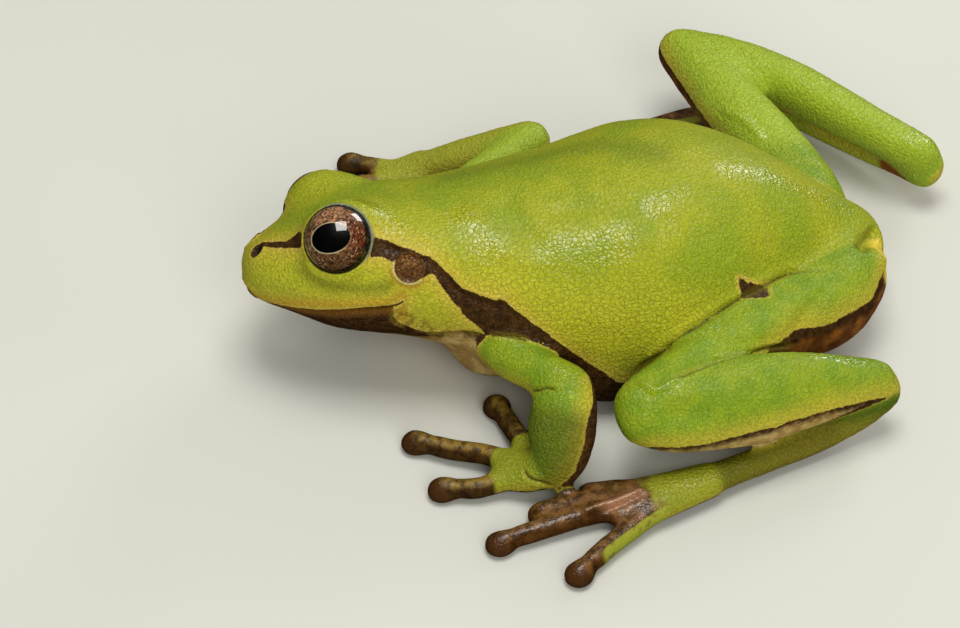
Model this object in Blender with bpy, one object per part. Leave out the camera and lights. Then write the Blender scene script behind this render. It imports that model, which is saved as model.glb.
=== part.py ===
"""A life-size tree frog at rest, as a museum model: solids for the head, the trunk, the eyes and each length
of each leg. Run it with blender --background --python part.py, or from Blender's text editor.

The frog faces -Y and its left side is +X. It sits on the plane Z = 0. Lengths in the tables are in
millimetres, and MM turns them into Blender's metres.
"""

import math

import bmesh
import bpy
from mathutils import Matrix, Vector

MM = 0.001

# Driving sizes
EYE_RADIUS = 2.1
GAP = 0.3  # between two pieces that meet
FLOOR = 0.0
RING_SIDES = 40
LIMB_SIDES = 20
EYE_SIDES = 20

# How the head tilts: its left side is up, and the tilt fades out along the trunk.
HEAD_ROLL = 26.0
# How far the head turns to its left, as the shift back for each millimetre to the left.
HEAD_TURN = 0.06

# The body's rings, from the snout to the vent: how far back, the axis's height, roll in degrees,
# half width, then the heights of the widest level, the back and the belly above or below the axis,
# and the squareness of the upper and the lower half (2 is an ellipse).
BODY_RINGS = (
    # back  axis_z  roll  half    mid    top    low   up   down
    (0.00, 8.00, 26.0, 0.30, -0.90, -0.55, -1.25, 2.0, 2.0),
    (0.15, 8.02, 26.0, 1.20, -0.90, 0.00, -1.95, 2.0, 2.0),
    (0.50, 8.05, 26.0, 2.10, -0.95, 0.45, -2.60, 2.0, 2.0),
    (1.10, 8.10, 26.0, 2.95, -1.05, 0.80, -3.10, 2.1, 2.0),
    (2.20, 8.20, 26.0, 3.85, -1.20, 1.25, -3.65, 2.3, 2.1),
    (3.60, 8.35, 26.0, 4.65, -1.40, 1.95, -4.35, 2.5, 2.3),
    (5.40, 8.50, 26.0, 5.45, -1.60, 2.70, -5.30, 2.6, 2.4),
    (7.60, 8.60, 26.0, 6.20, -1.60, 3.00, -5.80, 2.5, 2.4),
    (10.2, 8.50, 25.0, 6.85, -1.60, 3.10, -6.20, 2.4, 2.4),
    (13.0, 8.30, 23.0, 7.20, -2.00, 3.30, -7.00, 2.3, 2.5),
    (16.5, 8.00, 19.0, 8.00, -2.60, 3.90, -7.60, 2.2, 2.6),
    (20.5, 7.60, 13.0, 8.80, -2.90, 4.80, -7.80, 2.1, 2.8),
    (24.5, 7.20, 7.0, 9.60, -2.90, 5.95, -7.55, 2.1, 2.8),
    (28.0, 6.90, 3.0, 9.40, -2.60, 6.20, -7.20, 2.1, 2.6),
    (31.5, 6.50, 0.0, 7.90, -2.00, 5.80, -6.65, 2.0, 2.4),
    (35.0, 6.00, 0.0, 5.60, -1.20, 4.60, -5.40, 1.9, 2.2),
    (38.5, 5.20, 0.0, 3.30, -0.80, 2.80, -3.90, 1.9, 2.1),
    (40.8, 4.60, 0.0, 2.40, -0.60, 1.70, -2.60, 2.0, 2.0),
    (41.7, 4.40, 0.0, 1.50, -0.50, 0.80, -1.70, 2.0, 2.0),
    (42.0, 4.30, 0.0, 0.50, -0.45, 0.00, -0.90, 2.0, 2.0),
)
SNOUT_Y = -20.8

# Limb joints: x, y, z, then the radius across the broad side and across the narrow side.
LEFT_UPPER_ARM = (
    (5.60, -5.9, 5.4, 1.50, 1.50),
    (8.20, -5.3, 5.2, 1.45, 1.40),
    (9.80, -4.0, 5.3, 1.45, 1.35),
    (11.2, -2.4, 5.4, 1.55, 1.45),
    (11.9, -1.6, 5.3, 1.60, 1.50),
)
LEFT_FOREARM = (
    (12.0, -1.6, 5.3, 1.85, 1.55),
    (13.1, -1.9, 4.9, 2.20, 1.65),
    (14.3, -2.3, 3.9, 2.35, 1.60),
    (15.5, -2.7, 2.8, 2.15, 1.35),
    (15.9, -3.4, 2.0, 1.60, 1.05),
)
LEFT_PALM = (
    (15.7, -3.6, 1.8, 1.35, 0.95),
    (15.0, -4.8, 1.3, 1.60, 0.85),
    (14.4, -6.0, 1.1, 1.40, 0.70),
)
LEFT_FINGERS = (
    ((14.2, -4.2, 1.1), (12.3, -3.2, 0.8), (10.8, -2.4, 0.7)),
    ((14.2, -4.6, 1.2), (12.2, -4.5, 1.0), (10.2, -5.0, 0.8), (8.4, -5.5, 0.8)),
    ((13.7, -5.6, 1.1), (12.8, -7.2, 1.0), (12.0, -9.0, 0.8), (10.9, -11.0, 0.8)),
    ((15.3, -5.6, 1.1), (15.7, -7.6, 0.9), (15.4, -9.2, 0.8), (15.2, -9.9, 0.8)),
)
RIGHT_UPPER_ARM = (
    (-5.6, -6.6, 4.4, 1.50, 1.50),
    (-8.2, -5.0, 4.8, 1.45, 1.40),
    (-10.2, -2.4, 5.0, 1.45, 1.35),
    (-11.5, -0.6, 5.1, 1.60, 1.50),
)
RIGHT_FOREARM = (
    (-11.8, -0.3, 5.1, 1.70, 1.50),
    (-12.2, -2.2, 4.3, 1.80, 1.45),
    (-12.9, -4.2, 3.3, 1.70, 1.35),
    (-13.6, -5.9, 2.4, 1.50, 1.20),
    (-14.2, -7.1, 1.8, 1.35, 1.00),
)
RIGHT_PALM = (
    (-14.2, -7.1, 1.7, 1.40, 0.95),
    (-14.0, -8.3, 1.3, 1.60, 0.80),
    (-13.9, -9.3, 1.1, 1.40, 0.70),
)
RIGHT_FINGERS = (
    ((-13.1, -8.0, 1.2), (-11.2, -8.2, 0.9), (-9.6, -8.6, 0.8)),
    ((-13.1, -8.9, 1.1), (-11.4, -10.8, 0.9), (-9.9, -12.5, 0.8)),
    ((-13.7, -9.2, 1.1), (-13.7, -11.8, 0.9), (-13.5, -14.3, 0.8)),
    ((-14.7, -9.0, 1.1), (-15.3, -10.2, 0.9), (-16.3, -12.0, 0.8)),
)
LEFT_THIGH = (
    (3.40, 18.0, 4.2, 3.00, 2.70),
    (5.80, 16.2, 4.3, 3.10, 2.70),
    (7.60, 13.0, 4.6, 2.90, 2.40),
    (9.40, 10.0, 4.8, 2.70, 2.20),
    (11.4, 6.9, 5.1, 2.40, 2.00),
    (13.2, 4.3, 5.4, 2.10, 1.80),
    (14.6, 2.4, 5.5, 1.90, 1.75),
)
LEFT_SHANK = (
    (15.3, 2.3, 5.4, 2.00, 1.50),
    (15.5, 4.2, 5.4, 2.50, 1.55),
    (15.2, 6.6, 5.3, 2.70, 1.70),
    (14.7, 9.0, 5.1, 2.90, 1.80),
    (14.2, 11.4, 4.9, 2.85, 1.75),
    (13.7, 13.9, 4.6, 2.50, 1.55),
    (13.3, 16.3, 4.2, 2.05, 1.35),
    (13.0, 18.1, 3.9, 1.70, 1.30),
)
LEFT_TARSUS = (
    (12.9, 18.5, 3.2, 1.45, 1.20),
    (13.4, 17.2, 1.9, 1.10, 0.95),
    (14.6, 14.0, 1.2, 1.05, 0.90),
    (15.9, 10.4, 1.15, 1.05, 0.90),
    (17.1, 7.0, 1.15, 1.20, 0.90),
)
LEFT_FOOT = (
    (17.1, 7.0, 1.15, 1.25, 0.90),
    (17.9, 4.4, 1.15, 1.55, 0.90),
    (18.4, 2.3, 1.05, 1.90, 0.80),
    (18.7, 0.4, 0.90, 1.60, 0.65),
)
LEFT_TOES = (
    ((17.6, 3.2, 1.0), (17.1, 1.6, 0.8), (16.9, 0.5, 0.7)),
    ((17.6, 2.0, 1.0), (17.1, 0.6, 0.8), (16.9, -0.8, 0.7)),
    ((17.9, 1.6, 1.0), (17.8, -1.2, 0.8), (18.2, -4.1, 0.8)),
    ((18.6, 0.7, 0.9), (19.1, -1.9, 0.9), (19.7, -4.5, 0.8), (20.3, -7.0, 0.7)),
    ((18.9, 3.4, 1.0), (20.3, 1.4, 0.9), (21.6, -0.4, 0.8), (23.5, -2.6, 0.7)),
)
RIGHT_THIGH = (
    (-2.6, 17.6, 3.8, 2.00, 2.10),
    (-4.9, 17.0, 4.5, 2.20, 2.30),
    (-9.3, 15.1, 5.1, 2.40, 2.30),
    (-13.0, 13.4, 5.4, 2.45, 2.15),
    (-16.8, 11.9, 5.6, 2.20, 1.85),
    (-19.1, 11.0, 5.6, 1.85, 1.65),
)
RIGHT_SHANK = (
    (-19.2, 11.4, 5.7, 1.60, 1.45),
    (-18.0, 13.5, 5.6, 2.10, 1.65),
    (-16.6, 15.6, 5.4, 2.60, 1.75),
    (-14.9, 17.9, 5.1, 2.80, 1.75),
    (-13.2, 19.8, 4.8, 2.60, 1.70),
    (-11.6, 21.6, 4.5, 2.20, 1.60),
    (-9.8, 23.7, 4.1, 1.85, 1.50),
    (-8.2, 25.6, 3.8, 1.65, 1.45),
)
RIGHT_TARSUS = (
    (-8.0, 25.8, 2.9, 1.55, 1.40),
    (-9.9, 24.6, 1.9, 1.10, 0.95),
    (-12.8, 22.2, 1.2, 1.05, 0.90),
    (-17.0, 18.4, 1.15, 1.20, 0.90),
)
RIGHT_FOOT = (
    (-17.0, 18.4, 1.15, 1.25, 0.90),
    (-17.3, 16.0, 1.15, 1.50, 0.90),
    (-17.0, 13.8, 1.05, 1.80, 0.80),
    (-16.8, 12.0, 0.90, 1.50, 0.65),
)
RIGHT_TOES = (
    ((-16.1, 15.0, 1.0), (-15.0, 13.3, 0.8), (-14.3, 12.0, 0.7)),
    ((-16.0, 13.8, 1.0), (-14.7, 11.6, 0.8), (-13.8, 9.6, 0.7)),
    ((-16.2, 12.9, 1.0), (-15.1, 9.9, 0.8), (-14.0, 7.0, 0.7)),
    ((-16.8, 12.3, 0.9), (-16.3, 9.0, 0.8), (-15.6, 6.0, 0.8), (-14.9, 3.6, 0.7)),
    ((-17.6, 13.6, 1.0), (-17.7, 11.4, 0.8), (-17.2, 9.2, 0.7), (-16.8, 7.6, 0.7)),
)
DIGIT_RADIUS = 0.66
DISC_RADIUS = 1.00
DISC_HALF_HEIGHT = 0.60
DISC_HEIGHT = 0.50

# Soft swellings under the skin: centre and radii.
SWELLINGS = (
    ((4.20, -4.9, 3.3), (3.4, 3.5, 2.9)),
    ((-4.2, -5.2, 3.1), (3.2, 3.2, 2.8)),
    ((8.0, 1.8, 2.9), (2.1, 3.6, 2.7)),
)
# The same on both sides of the head, with each centre in the head's own frame: back, to the side, up.
HEAD_SWELLINGS = (
    ((6.6, 3.3, 1.0), (2.7, 3.3, 2.5)),
)
# The eyes, in the head's own frame.
EYE_PLACE = (5.7, 4.4, 1.2)
BROW_PLACE = (5.9, 4.1, 1.3)
BROW_RADII = (2.5, 2.6, 2.5)

# Cuts that part the pieces: a point, the direction across the cut, a direction along it,
# then how far the cut reaches either way along that direction and square to it.
CUTS = (
    ((0.0, -8.5, 6.5), (0.0, 1.0, 0.0), (1.0, 0.0, 0.0), 8.0, 8.0),
    ((8.8, -4.5, 4.7), (0.96, -0.27, 0.0), (0.27, 0.96, 0.0), 4.1, 2.8),
    ((12.0, -1.6, 5.3), (0.91, 0.23, -0.34), (0.0, 0.8, 0.6), 2.5, 2.5),
    ((15.3, -3.7, 1.9), (-0.04, -0.82, -0.58), (1.0, 0.0, 0.0), 2.2, 2.2),
    ((-7.4, -5.6, 4.8), (-0.957, -0.29, 0.0), (-0.29, 0.957, 0.0), 3.2, 3.0),
    ((-11.5, -2.0, 4.6), (-0.91, -0.05, -0.41), (0.0, 1.0, 0.0), 4.0, 3.2),
    ((-14.2, -7.1, 1.8), (-0.13, -0.92, -0.37), (1.0, 0.0, 0.0), 2.3, 1.7),
    ((14.2, 0.3, 4.9), (0.2, 0.97, 0.1), (1.0, 0.0, 0.0), 3.0, 2.8),
    ((6.4, 12.6, 4.8), (0.874, 0.485, 0.0), (0.485, -0.874, 0.0), 11.6, 5.8),
    ((12.3, 9.0, 5.1), (0.90, 0.31, 0.30), (-0.325, 0.945, 0.0), 9.6, 3.8),
    ((14.0, 15.6, 2.75), (-0.45, -0.22, 0.87), (0.32, -0.94, -0.10), 5.6, 2.6),
    ((17.1, 7.0, 1.15), (0.25, -0.97, 0.0), (1.0, 0.25, 0.0), 2.2, 1.8),
    ((-6.0, 14.2, 4.8), (-0.845, 0.535, 0.0), (0.535, 0.845, 0.0), 7.4, 5.6),
    ((-17.2, 12.9, 5.4), (-0.616, 0.787, -0.036), (0.76, 0.59, -0.10), 5.8, 3.2),
    ((-10.6, 23.5, 2.8), (0.12, -0.42, 0.90), (-0.72, -0.69, -0.23), 5.4, 2.6),
    ((-17.0, 18.4, 1.15), (-0.48, -0.87, -0.08), (0.87, -0.48, 0.0), 2.2, 1.8),
)
# Where each piece lies, so that the cut pieces can be named, and the triangles it keeps.
PLACES = {
    "head": ((0.0, -14.5, 8.0), 1650),
    "trunk": ((0.0, 4.0, 7.0), 1700),
    "upper_arm_left": ((10.2, -3.6, 5.3), 220),
    "forearm_left": ((14.2, -2.3, 4.0), 240),
    "hand_left": ((13.6, -6.4, 1.0), 600),
    "thigh_left": ((8.6, 11.0, 4.7), 400),
    "shank_left": ((14.6, 9.5, 5.0), 400),
    "tarsus_left": ((14.8, 13.0, 1.3), 260),
    "foot_left": ((18.6, 1.0, 1.0), 620),
    "upper_arm_right": ((-10.0, -2.8, 5.0), 220),
    "forearm_right": ((-12.8, -3.8, 3.6), 240),
    "hand_right": ((-13.4, -9.6, 1.0), 600),
    "thigh_right": ((-12.0, 14.2, 5.2), 400),
    "shank_right": ((-14.2, 18.6, 5.0), 400),
    "tarsus_right": ((-12.8, 22.2, 1.4), 260),
    "foot_right": ((-16.4, 11.5, 1.0), 620),
}
# How finely the flesh is fused, and the triangles it has when it is cut.
FUSE_VOXEL = 0.28
DETAIL_VOXEL = 0.26
FLESH_SMOOTHING = 14
DETAIL_SMOOTHING = 2
FLESH_TRIANGLES = 36000
GROUND_DEPTH = 10.0
FLAT_BAND = 0.06  # thinning moves a flat's rim by less than this

# Base colour and roughness of each kind of piece.
PLAIN_PIECES = ("head", "trunk")
FINISHES = {
    "skin": ((0.30, 0.42, 0.03), 0.35),
    "hand": ((0.32, 0.22, 0.06), 0.35),
    "foot": ((0.24, 0.13, 0.05), 0.35),
    "eye": ((0.20, 0.09, 0.03), 0.10),
}


def clear_scene():
    for obj in list(bpy.data.objects):
        bpy.data.objects.remove(obj)


def link(mesh, name):
    obj = bpy.data.objects.new(name, mesh)
    bpy.context.scene.collection.objects.link(obj)
    return obj


def smooth_step(values, t):
    """Catmull-Rom interpolation of a list of vectors at t, counted in list steps."""
    last = len(values) - 1
    i = min(int(t), last - 1)
    u = t - i
    a, b, c, d = (values[min(max(i + k, 0), last)] for k in (-1, 0, 1, 2))
    return [
        0.5 * (2 * q + (r - p) * u + (2 * p - 5 * q + 4 * r - s) * u * u + (3 * q - p - 3 * r + s) * u ** 3)
        for p, q, r, s in zip(a, b, c, d)
    ]


def bridge_rings(name, rings):
    """A closed surface through rings of points, with a fan at each end."""
    bm = bmesh.new()
    loops = [[bm.verts.new(Vector(p) * MM) for p in ring] for ring in rings]
    count = len(loops[0])
    for lower, upper in zip(loops, loops[1:]):
        for i in range(count):
            j = (i + 1) % count
            bm.faces.new((lower[i], lower[j], upper[j], upper[i]))
    for loop in (loops[0], loops[-1]):
        centre = bm.verts.new(sum((v.co for v in loop), Vector()) / count)
        for i in range(count):
            bm.faces.new((loop[i], loop[(i + 1) % count], centre))
    bmesh.ops.recalc_face_normals(bm, faces=bm.faces)
    mesh = bpy.data.meshes.new(name)
    bm.to_mesh(mesh)
    bm.free()
    return link(mesh, name)


def ring_values(back):
    """The body's ring this far behind the snout, read smoothly from the table."""
    backs = [row[0] for row in BODY_RINGS]
    i = max(k for k in range(len(backs) - 1) if backs[k] <= back + 1e-9)
    t = i + (back - backs[i]) / (backs[i + 1] - backs[i])
    return smooth_step(BODY_RINGS, t)


def body_point(back, left, up):
    """A point given in the body's own tilted frame: back from the snout, left and up from its axis."""
    axis_z, roll = ring_values(back)[1:3]
    turn = math.radians(roll)
    x = left * math.cos(turn) - up * math.sin(turn)
    z = left * math.sin(turn) + up * math.cos(turn)
    return Vector((x, SNOUT_Y + back + HEAD_TURN * left * roll / HEAD_ROLL, axis_z + z))


def half_power(value, power):
    return math.copysign(abs(value) ** (2 / power), value)


def make_body():
    rings = []
    steps = 3
    for t in range((len(BODY_RINGS) - 1) * steps + 1):
        back, _, _, half, mid, top, low, up, down = smooth_step(BODY_RINGS, t / steps)
        ring = []
        for k in range(RING_SIDES):
            angle = 2 * math.pi * k / RING_SIDES
            above = math.sin(angle) >= 0
            power = up if above else down
            height = (top - mid) if above else (mid - low)
            ring.append(
                body_point(
                    back,
                    half * half_power(math.cos(angle), power),
                    mid + height * half_power(math.sin(angle), power),
                )
            )
        rings.append(ring)
    return bridge_rings("body", rings)


def limb(name, joints, broad_way, steps=5):
    """A rounded tube through joints of (x, y, z, broad radius, narrow radius).

    broad_way is the direction the broad radius lies in.
    """
    count = (len(joints) - 1) * steps
    path = [smooth_step(joints, t / steps) for t in range(count + 1)]
    centres = [Vector(p[:3]) for p in path]
    rings = []
    for i, (centre, row) in enumerate(zip(centres, path)):
        along = (centres[min(i + 1, count)] - centres[max(i - 1, 0)]).normalized()
        broad = Vector(broad_way)
        broad = (broad - along * broad.dot(along)).normalized()
        narrow = along.cross(broad)
        caps = [(1.0, 0.0)]
        if i == 0:
            caps = [(math.sin(a), -math.cos(a)) for a in (0.25, 0.6, 1.0, 1.3)] + caps
        if i == count:
            caps = caps + [(math.sin(a), math.cos(a)) for a in (1.3, 1.0, 0.6, 0.25)]
        for size, out in caps:
            middle = centre + along * out * min(row[3], row[4])
            rings.append(
                [
                    middle
                    + broad * row[3] * size * math.cos(2 * math.pi * k / LIMB_SIDES)
                    + narrow * row[4] * size * math.sin(2 * math.pi * k / LIMB_SIDES)
                    for k in range(LIMB_SIDES)
                ]
            )
    return bridge_rings(name, rings)


def blob(name, centre, radii, turn=None):
    """An ellipsoid."""
    bm = bmesh.new()
    bmesh.ops.create_icosphere(bm, subdivisions=3, radius=1.0)
    matrix = Matrix.Translation(Vector(centre) * MM)
    if turn is not None:
        matrix = matrix @ turn.to_4x4()
    matrix = matrix @ Matrix.Diagonal((*[r * MM for r in radii], 1.0))
    bmesh.ops.transform(bm, matrix=matrix, verts=bm.verts)
    mesh = bpy.data.meshes.new(name)
    bm.to_mesh(mesh)
    bm.free()
    return link(mesh, name)



UP = (0.0, 0.0, 1.0)
ACROSS = (1.0, 0.0, 0.0)
LEFT_SHANK_LEAN = (-0.675, 0.095, 0.731)
RIGHT_SHANK_LEAN = (0.675, 0.095, 0.731)
LEFT_FOREARM_BROAD = (1.0, 2.0, 0.0)
RIGHT_FOREARM_BROAD = (-1.0, 1.0, 0.0)


def digit(joints):
    """A finger or toe with its round disc at the tip."""
    path = [(*p, DIGIT_RADIUS, DIGIT_RADIUS) for p in joints]
    x, y, _ = joints[-1]
    disc = blob("disc", (x, y, DISC_HEIGHT), (DISC_RADIUS, DISC_RADIUS, DISC_HALF_HEIGHT))
    return [limb("digit", path, UP), disc]


def make_fleshy_forms():
    """The body and the thick lengths of the legs."""
    forms = [
        make_body(),
        limb("upper_arm", LEFT_UPPER_ARM, UP),
        limb("upper_arm", RIGHT_UPPER_ARM, UP),
        limb("forearm", LEFT_FOREARM, LEFT_FOREARM_BROAD),
        limb("forearm", RIGHT_FOREARM, RIGHT_FOREARM_BROAD),
        limb("thigh", LEFT_THIGH, UP),
        limb("thigh", RIGHT_THIGH, UP),
        limb("shank", LEFT_SHANK, LEFT_SHANK_LEAN),
        limb("shank", RIGHT_SHANK, RIGHT_SHANK_LEAN),
    ]
    for centre, radii in SWELLINGS:
        forms.append(blob("swelling", centre, radii))
    for (back, side, up), radii in HEAD_SWELLINGS:
        for sign in (1, -1):
            turn = Matrix.Rotation(math.radians(-HEAD_ROLL), 3, "Y")
            forms.append(blob("swelling", body_point(back, side * sign, up), radii, turn))
    back, side, up = BROW_PLACE
    for sign in (1, -1):
        forms.append(blob("brow", body_point(back, side * sign, up), BROW_RADII))
    return forms


def make_fine_forms():
    """The hands, the long ankles and the feet."""
    forms = []
    for table in (LEFT_PALM, RIGHT_PALM, LEFT_TARSUS, RIGHT_TARSUS, LEFT_FOOT, RIGHT_FOOT):
        forms.append(limb("fine", table, ACROSS))
    for joints in LEFT_FINGERS + RIGHT_FINGERS + LEFT_TOES + RIGHT_TOES:
        forms += digit(joints)
    return forms


def bake(obj):
    """Apply an object's modifiers."""
    graph = bpy.context.evaluated_depsgraph_get()
    mesh = bpy.data.meshes.new_from_object(obj.evaluated_get(graph))
    obj.modifiers.clear()
    old = obj.data
    obj.data = mesh
    bpy.data.meshes.remove(old)


def join(forms, name):
    """One object holding every form's faces."""
    bm = bmesh.new()
    for form in forms:
        bm.from_mesh(form.data)
        bpy.data.objects.remove(form)
    mesh = bpy.data.meshes.new(name)
    bm.to_mesh(mesh)
    bm.free()
    return link(mesh, name)


def fuse(forms, voxel, smoothing):
    """Grow the forms into one skin and soften it."""
    obj = join(forms, "flesh")
    remesh = obj.modifiers.new("Fuse", "REMESH")
    remesh.mode = "VOXEL"
    remesh.voxel_size = voxel * MM
    soften = obj.modifiers.new("Soften", "SMOOTH")
    soften.factor = 0.5
    soften.iterations = smoothing
    bake(obj)
    return obj


def thin_out(obj, triangles):
    have = sum(len(p.vertices) - 2 for p in obj.data.polygons)
    decimate = obj.modifiers.new("Facets", "DECIMATE")
    decimate.ratio = triangles / have
    decimate.use_collapse_triangulate = True
    bake(obj)


def box_between(centre, across, along, thick, reach, width):
    """A box: thick across the cut, twice the reach along it and twice the width square to both."""
    normal = Vector(across).normalized()
    along = Vector(along)
    along = (along - normal * along.dot(normal)).normalized()
    third = normal.cross(along)
    turn = Matrix((along, third, normal)).transposed().to_4x4()
    size = Matrix.Diagonal((2 * reach * MM, 2 * width * MM, thick * MM, 1.0))
    bm = bmesh.new()
    bmesh.ops.create_cube(bm, size=1.0, matrix=Matrix.Translation(Vector(centre) * MM) @ turn @ size)
    mesh = bpy.data.meshes.new("cutter")
    bm.to_mesh(mesh)
    bm.free()
    return link(mesh, "cutter")


def cut_away(obj, cutter):
    boolean = obj.modifiers.new("Cut", "BOOLEAN")
    boolean.operation = "DIFFERENCE"
    boolean.solver = "EXACT"
    boolean.object = cutter
    bake(obj)
    bpy.data.objects.remove(cutter)


def split_loose(obj):
    """The object's separate shells, as lists of points and faces."""
    bm = bmesh.new()
    bm.from_mesh(obj.data)
    bmesh.ops.triangulate(bm, faces=bm.faces)
    seen = set()
    shells = []
    for start in bm.verts:
        if start in seen:
            continue
        group = [start]
        seen.add(start)
        for vert in group:
            for edge in vert.link_edges:
                other = edge.other_vert(vert)
                if other not in seen:
                    seen.add(other)
                    group.append(other)
        index = {v: i for i, v in enumerate(group)}
        faces = {f for v in group for f in v.link_faces}
        points = [v.co.copy() for v in group]
        shells.append((points, [[index[v] for v in f.verts] for f in sorted(faces, key=lambda f: f.index)]))
    bm.free()
    return shells


def ball(name, centre, radius):
    bm = bmesh.new()
    where = Matrix.Translation(Vector(centre))
    bmesh.ops.create_uvsphere(bm, u_segments=EYE_SIDES, v_segments=EYE_SIDES // 2, radius=radius * MM, matrix=where)
    mesh = bpy.data.meshes.new(name)
    bm.to_mesh(mesh)
    bm.free()
    return link(mesh, name)


def shell_centre(points):
    return sum(points, Vector()) / len(points)


def nearest_place(centre):
    return min(PLACES, key=lambda name: (Vector(PLACES[name][0]) * MM - centre).length)


def make_material(name, colour, roughness):
    material = bpy.data.materials.new(name)
    material.use_nodes = True
    shader = material.node_tree.nodes["Principled BSDF"]
    shader.inputs["Base Color"].default_value = (*colour, 1.0)
    shader.inputs["Roughness"].default_value = roughness
    shader.inputs["Metallic"].default_value = 0.0
    return material


def flatten_base(obj):
    """Put the points that rest on the ground exactly on it."""
    for vert in obj.data.vertices:
        if vert.co.z + obj.location.z < (FLOOR + FLAT_BAND) * MM:
            vert.co.z = FLOOR * MM - obj.location.z


def add_piece(name, points, faces, root):
    """A named piece, placed by its middle, in its own material."""
    centre = shell_centre(points)
    mesh = bpy.data.meshes.new(name)
    mesh.from_pydata([p - centre for p in points], [], faces)
    obj = link(mesh, name)
    obj.location = centre
    obj.parent = root
    if name in PLACES:
        thin_out(obj, PLACES[name][1])
        flatten_base(obj)
    mesh = obj.data
    kind = name.rsplit("_", 1)[0] if name not in PLAIN_PIECES else name
    colour, roughness = FINISHES.get(kind, FINISHES["skin"])
    mesh.materials.append(make_material(name + "_finish", colour, roughness))
    mesh.shade_smooth()
    mesh.set_sharp_from_angle(angle=math.radians(50))
    return obj


def make_flesh():
    """Fuse the whole animal, flatten what touches the ground, then part it into pieces."""
    flesh = fuse(make_fleshy_forms(), FUSE_VOXEL, FLESH_SMOOTHING)
    flesh = fuse([flesh] + make_fine_forms(), DETAIL_VOXEL, DETAIL_SMOOTHING)
    thin_out(flesh, FLESH_TRIANGLES)
    below = box_between((0.0, 0.0, FLOOR - GROUND_DEPTH / 2), UP, ACROSS, GROUND_DEPTH, 40.0, 40.0)
    cut_away(flesh, below)
    for centre, across, along, reach, width in CUTS:
        cut_away(flesh, box_between(centre, across, along, GAP, reach, width))
    for side in (1, -1):
        cut_away(flesh, ball("socket", eye_centre(side), EYE_RADIUS + GAP))
    return flesh


def eye_centre(side):
    back, aside, up = EYE_PLACE
    return body_point(back, aside * side, up) * MM


def make_pieces():
    root = bpy.data.objects.new("tree_frog", None)
    bpy.context.scene.collection.objects.link(root)
    flesh = make_flesh()
    largest = {}
    for points, faces in split_loose(flesh):
        name = nearest_place(shell_centre(points))
        if name not in largest or len(points) > len(largest[name][0]):
            largest[name] = (points, faces)
    bpy.data.objects.remove(flesh)
    pieces = [add_piece(name, *largest[name], root) for name in PLACES]
    for name, side in (("eye_left", 1), ("eye_right", -1)):
        eyeball = ball(name, eye_centre(side), EYE_RADIUS)
        points, faces = split_loose(eyeball)[0]
        bpy.data.objects.remove(eyeball)
        pieces.append(add_piece(name, points, faces, root))
    return pieces


def centre_on_origin(pieces):
    """Put the middle of the overall box over the origin."""
    corners = [piece.location + v.co for piece in pieces for v in piece.data.vertices]
    for axis in (0, 1):
        middle = (min(c[axis] for c in corners) + max(c[axis] for c in corners)) / 2
        for piece in pieces:
            piece.location[axis] -= middle


clear_scene()
centre_on_origin(make_pieces())
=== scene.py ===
"""A life-size tree frog at rest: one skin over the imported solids, two eyes, a pale floor and soft light."""

import math

import bmesh
import bpy
import numpy as np
from mathutils import Matrix, Vector, noise
from mathutils.bvhtree import BVHTree


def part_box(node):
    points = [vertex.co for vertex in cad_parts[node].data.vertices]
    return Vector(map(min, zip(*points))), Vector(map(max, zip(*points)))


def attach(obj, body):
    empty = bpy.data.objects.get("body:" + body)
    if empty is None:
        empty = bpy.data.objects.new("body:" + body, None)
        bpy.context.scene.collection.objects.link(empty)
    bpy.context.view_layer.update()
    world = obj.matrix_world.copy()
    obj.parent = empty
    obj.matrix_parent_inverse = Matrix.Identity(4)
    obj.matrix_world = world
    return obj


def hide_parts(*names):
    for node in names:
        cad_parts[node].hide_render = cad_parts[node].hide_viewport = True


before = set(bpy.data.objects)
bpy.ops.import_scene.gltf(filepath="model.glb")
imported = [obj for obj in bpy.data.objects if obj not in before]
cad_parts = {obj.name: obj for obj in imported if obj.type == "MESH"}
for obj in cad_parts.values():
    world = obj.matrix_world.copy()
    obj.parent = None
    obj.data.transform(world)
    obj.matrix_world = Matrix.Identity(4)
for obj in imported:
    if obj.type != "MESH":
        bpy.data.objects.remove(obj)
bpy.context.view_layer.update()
scene = bpy.context.scene
MM = 0.001

EYES = {"eye_left": 1.0, "eye_right": -1.0}
FLESH = sorted(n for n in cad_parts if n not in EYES)

# Skin building, in millimetres
SWELL = 0.2
VOXEL = 0.15
SOCKET_PLUG = 2.45
SOCKET_PLUG_HEIGHT = 1.6
BALL_RADIUS = 2.3
FAR = 9.0  # stands for "not near"
# Two lengths of the right leg come close beyond the heel and mustn't fuse there.
KEPT_APART = {"shank_right": "tarsus_right", "tarsus_right": "shank_right"}
APART_SWELL = 0.02
APART_GAP = 2.0
APART_FROM_HEEL = 1.2


# -------- small tools
def unit(v):
    v = np.asarray(v, float)
    return v / np.linalg.norm(v)


def smooth(x, low, high):
    """0 at low, 1 at high, eased in between."""
    t = np.clip((x - low) / (high - low), 0, 1)
    return t * t * (3 - 2 * t)


def bell(x, width):
    return np.exp(-((x / width) ** 2))


def read(items, what, width=3, kind=float):
    """One property of all the items, as an array of rows."""
    values = np.empty(len(items) * width, kind)
    items.foreach_get(what, values)
    return values.reshape(-1, width)


def node_points(name):
    return read(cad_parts[name].data.vertices, "co") / MM


def box_centre(name):
    low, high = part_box(name)
    return np.array((low + high) / 2) / MM


def add(name, data):
    obj = bpy.data.objects.new(name, data)
    scene.collection.objects.link(obj)
    return obj


def write_fields(obj, fields):
    """Puts named values on the mesh's points, and makes its faces smooth."""
    for key, values in fields.items():
        layer = obj.data.attributes.new(key, "FLOAT", "POINT")
        layer.data.foreach_set("value", np.array(values, np.float32))
    obj.data.polygons.foreach_set("use_smooth", np.ones(len(obj.data.polygons), bool))


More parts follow.
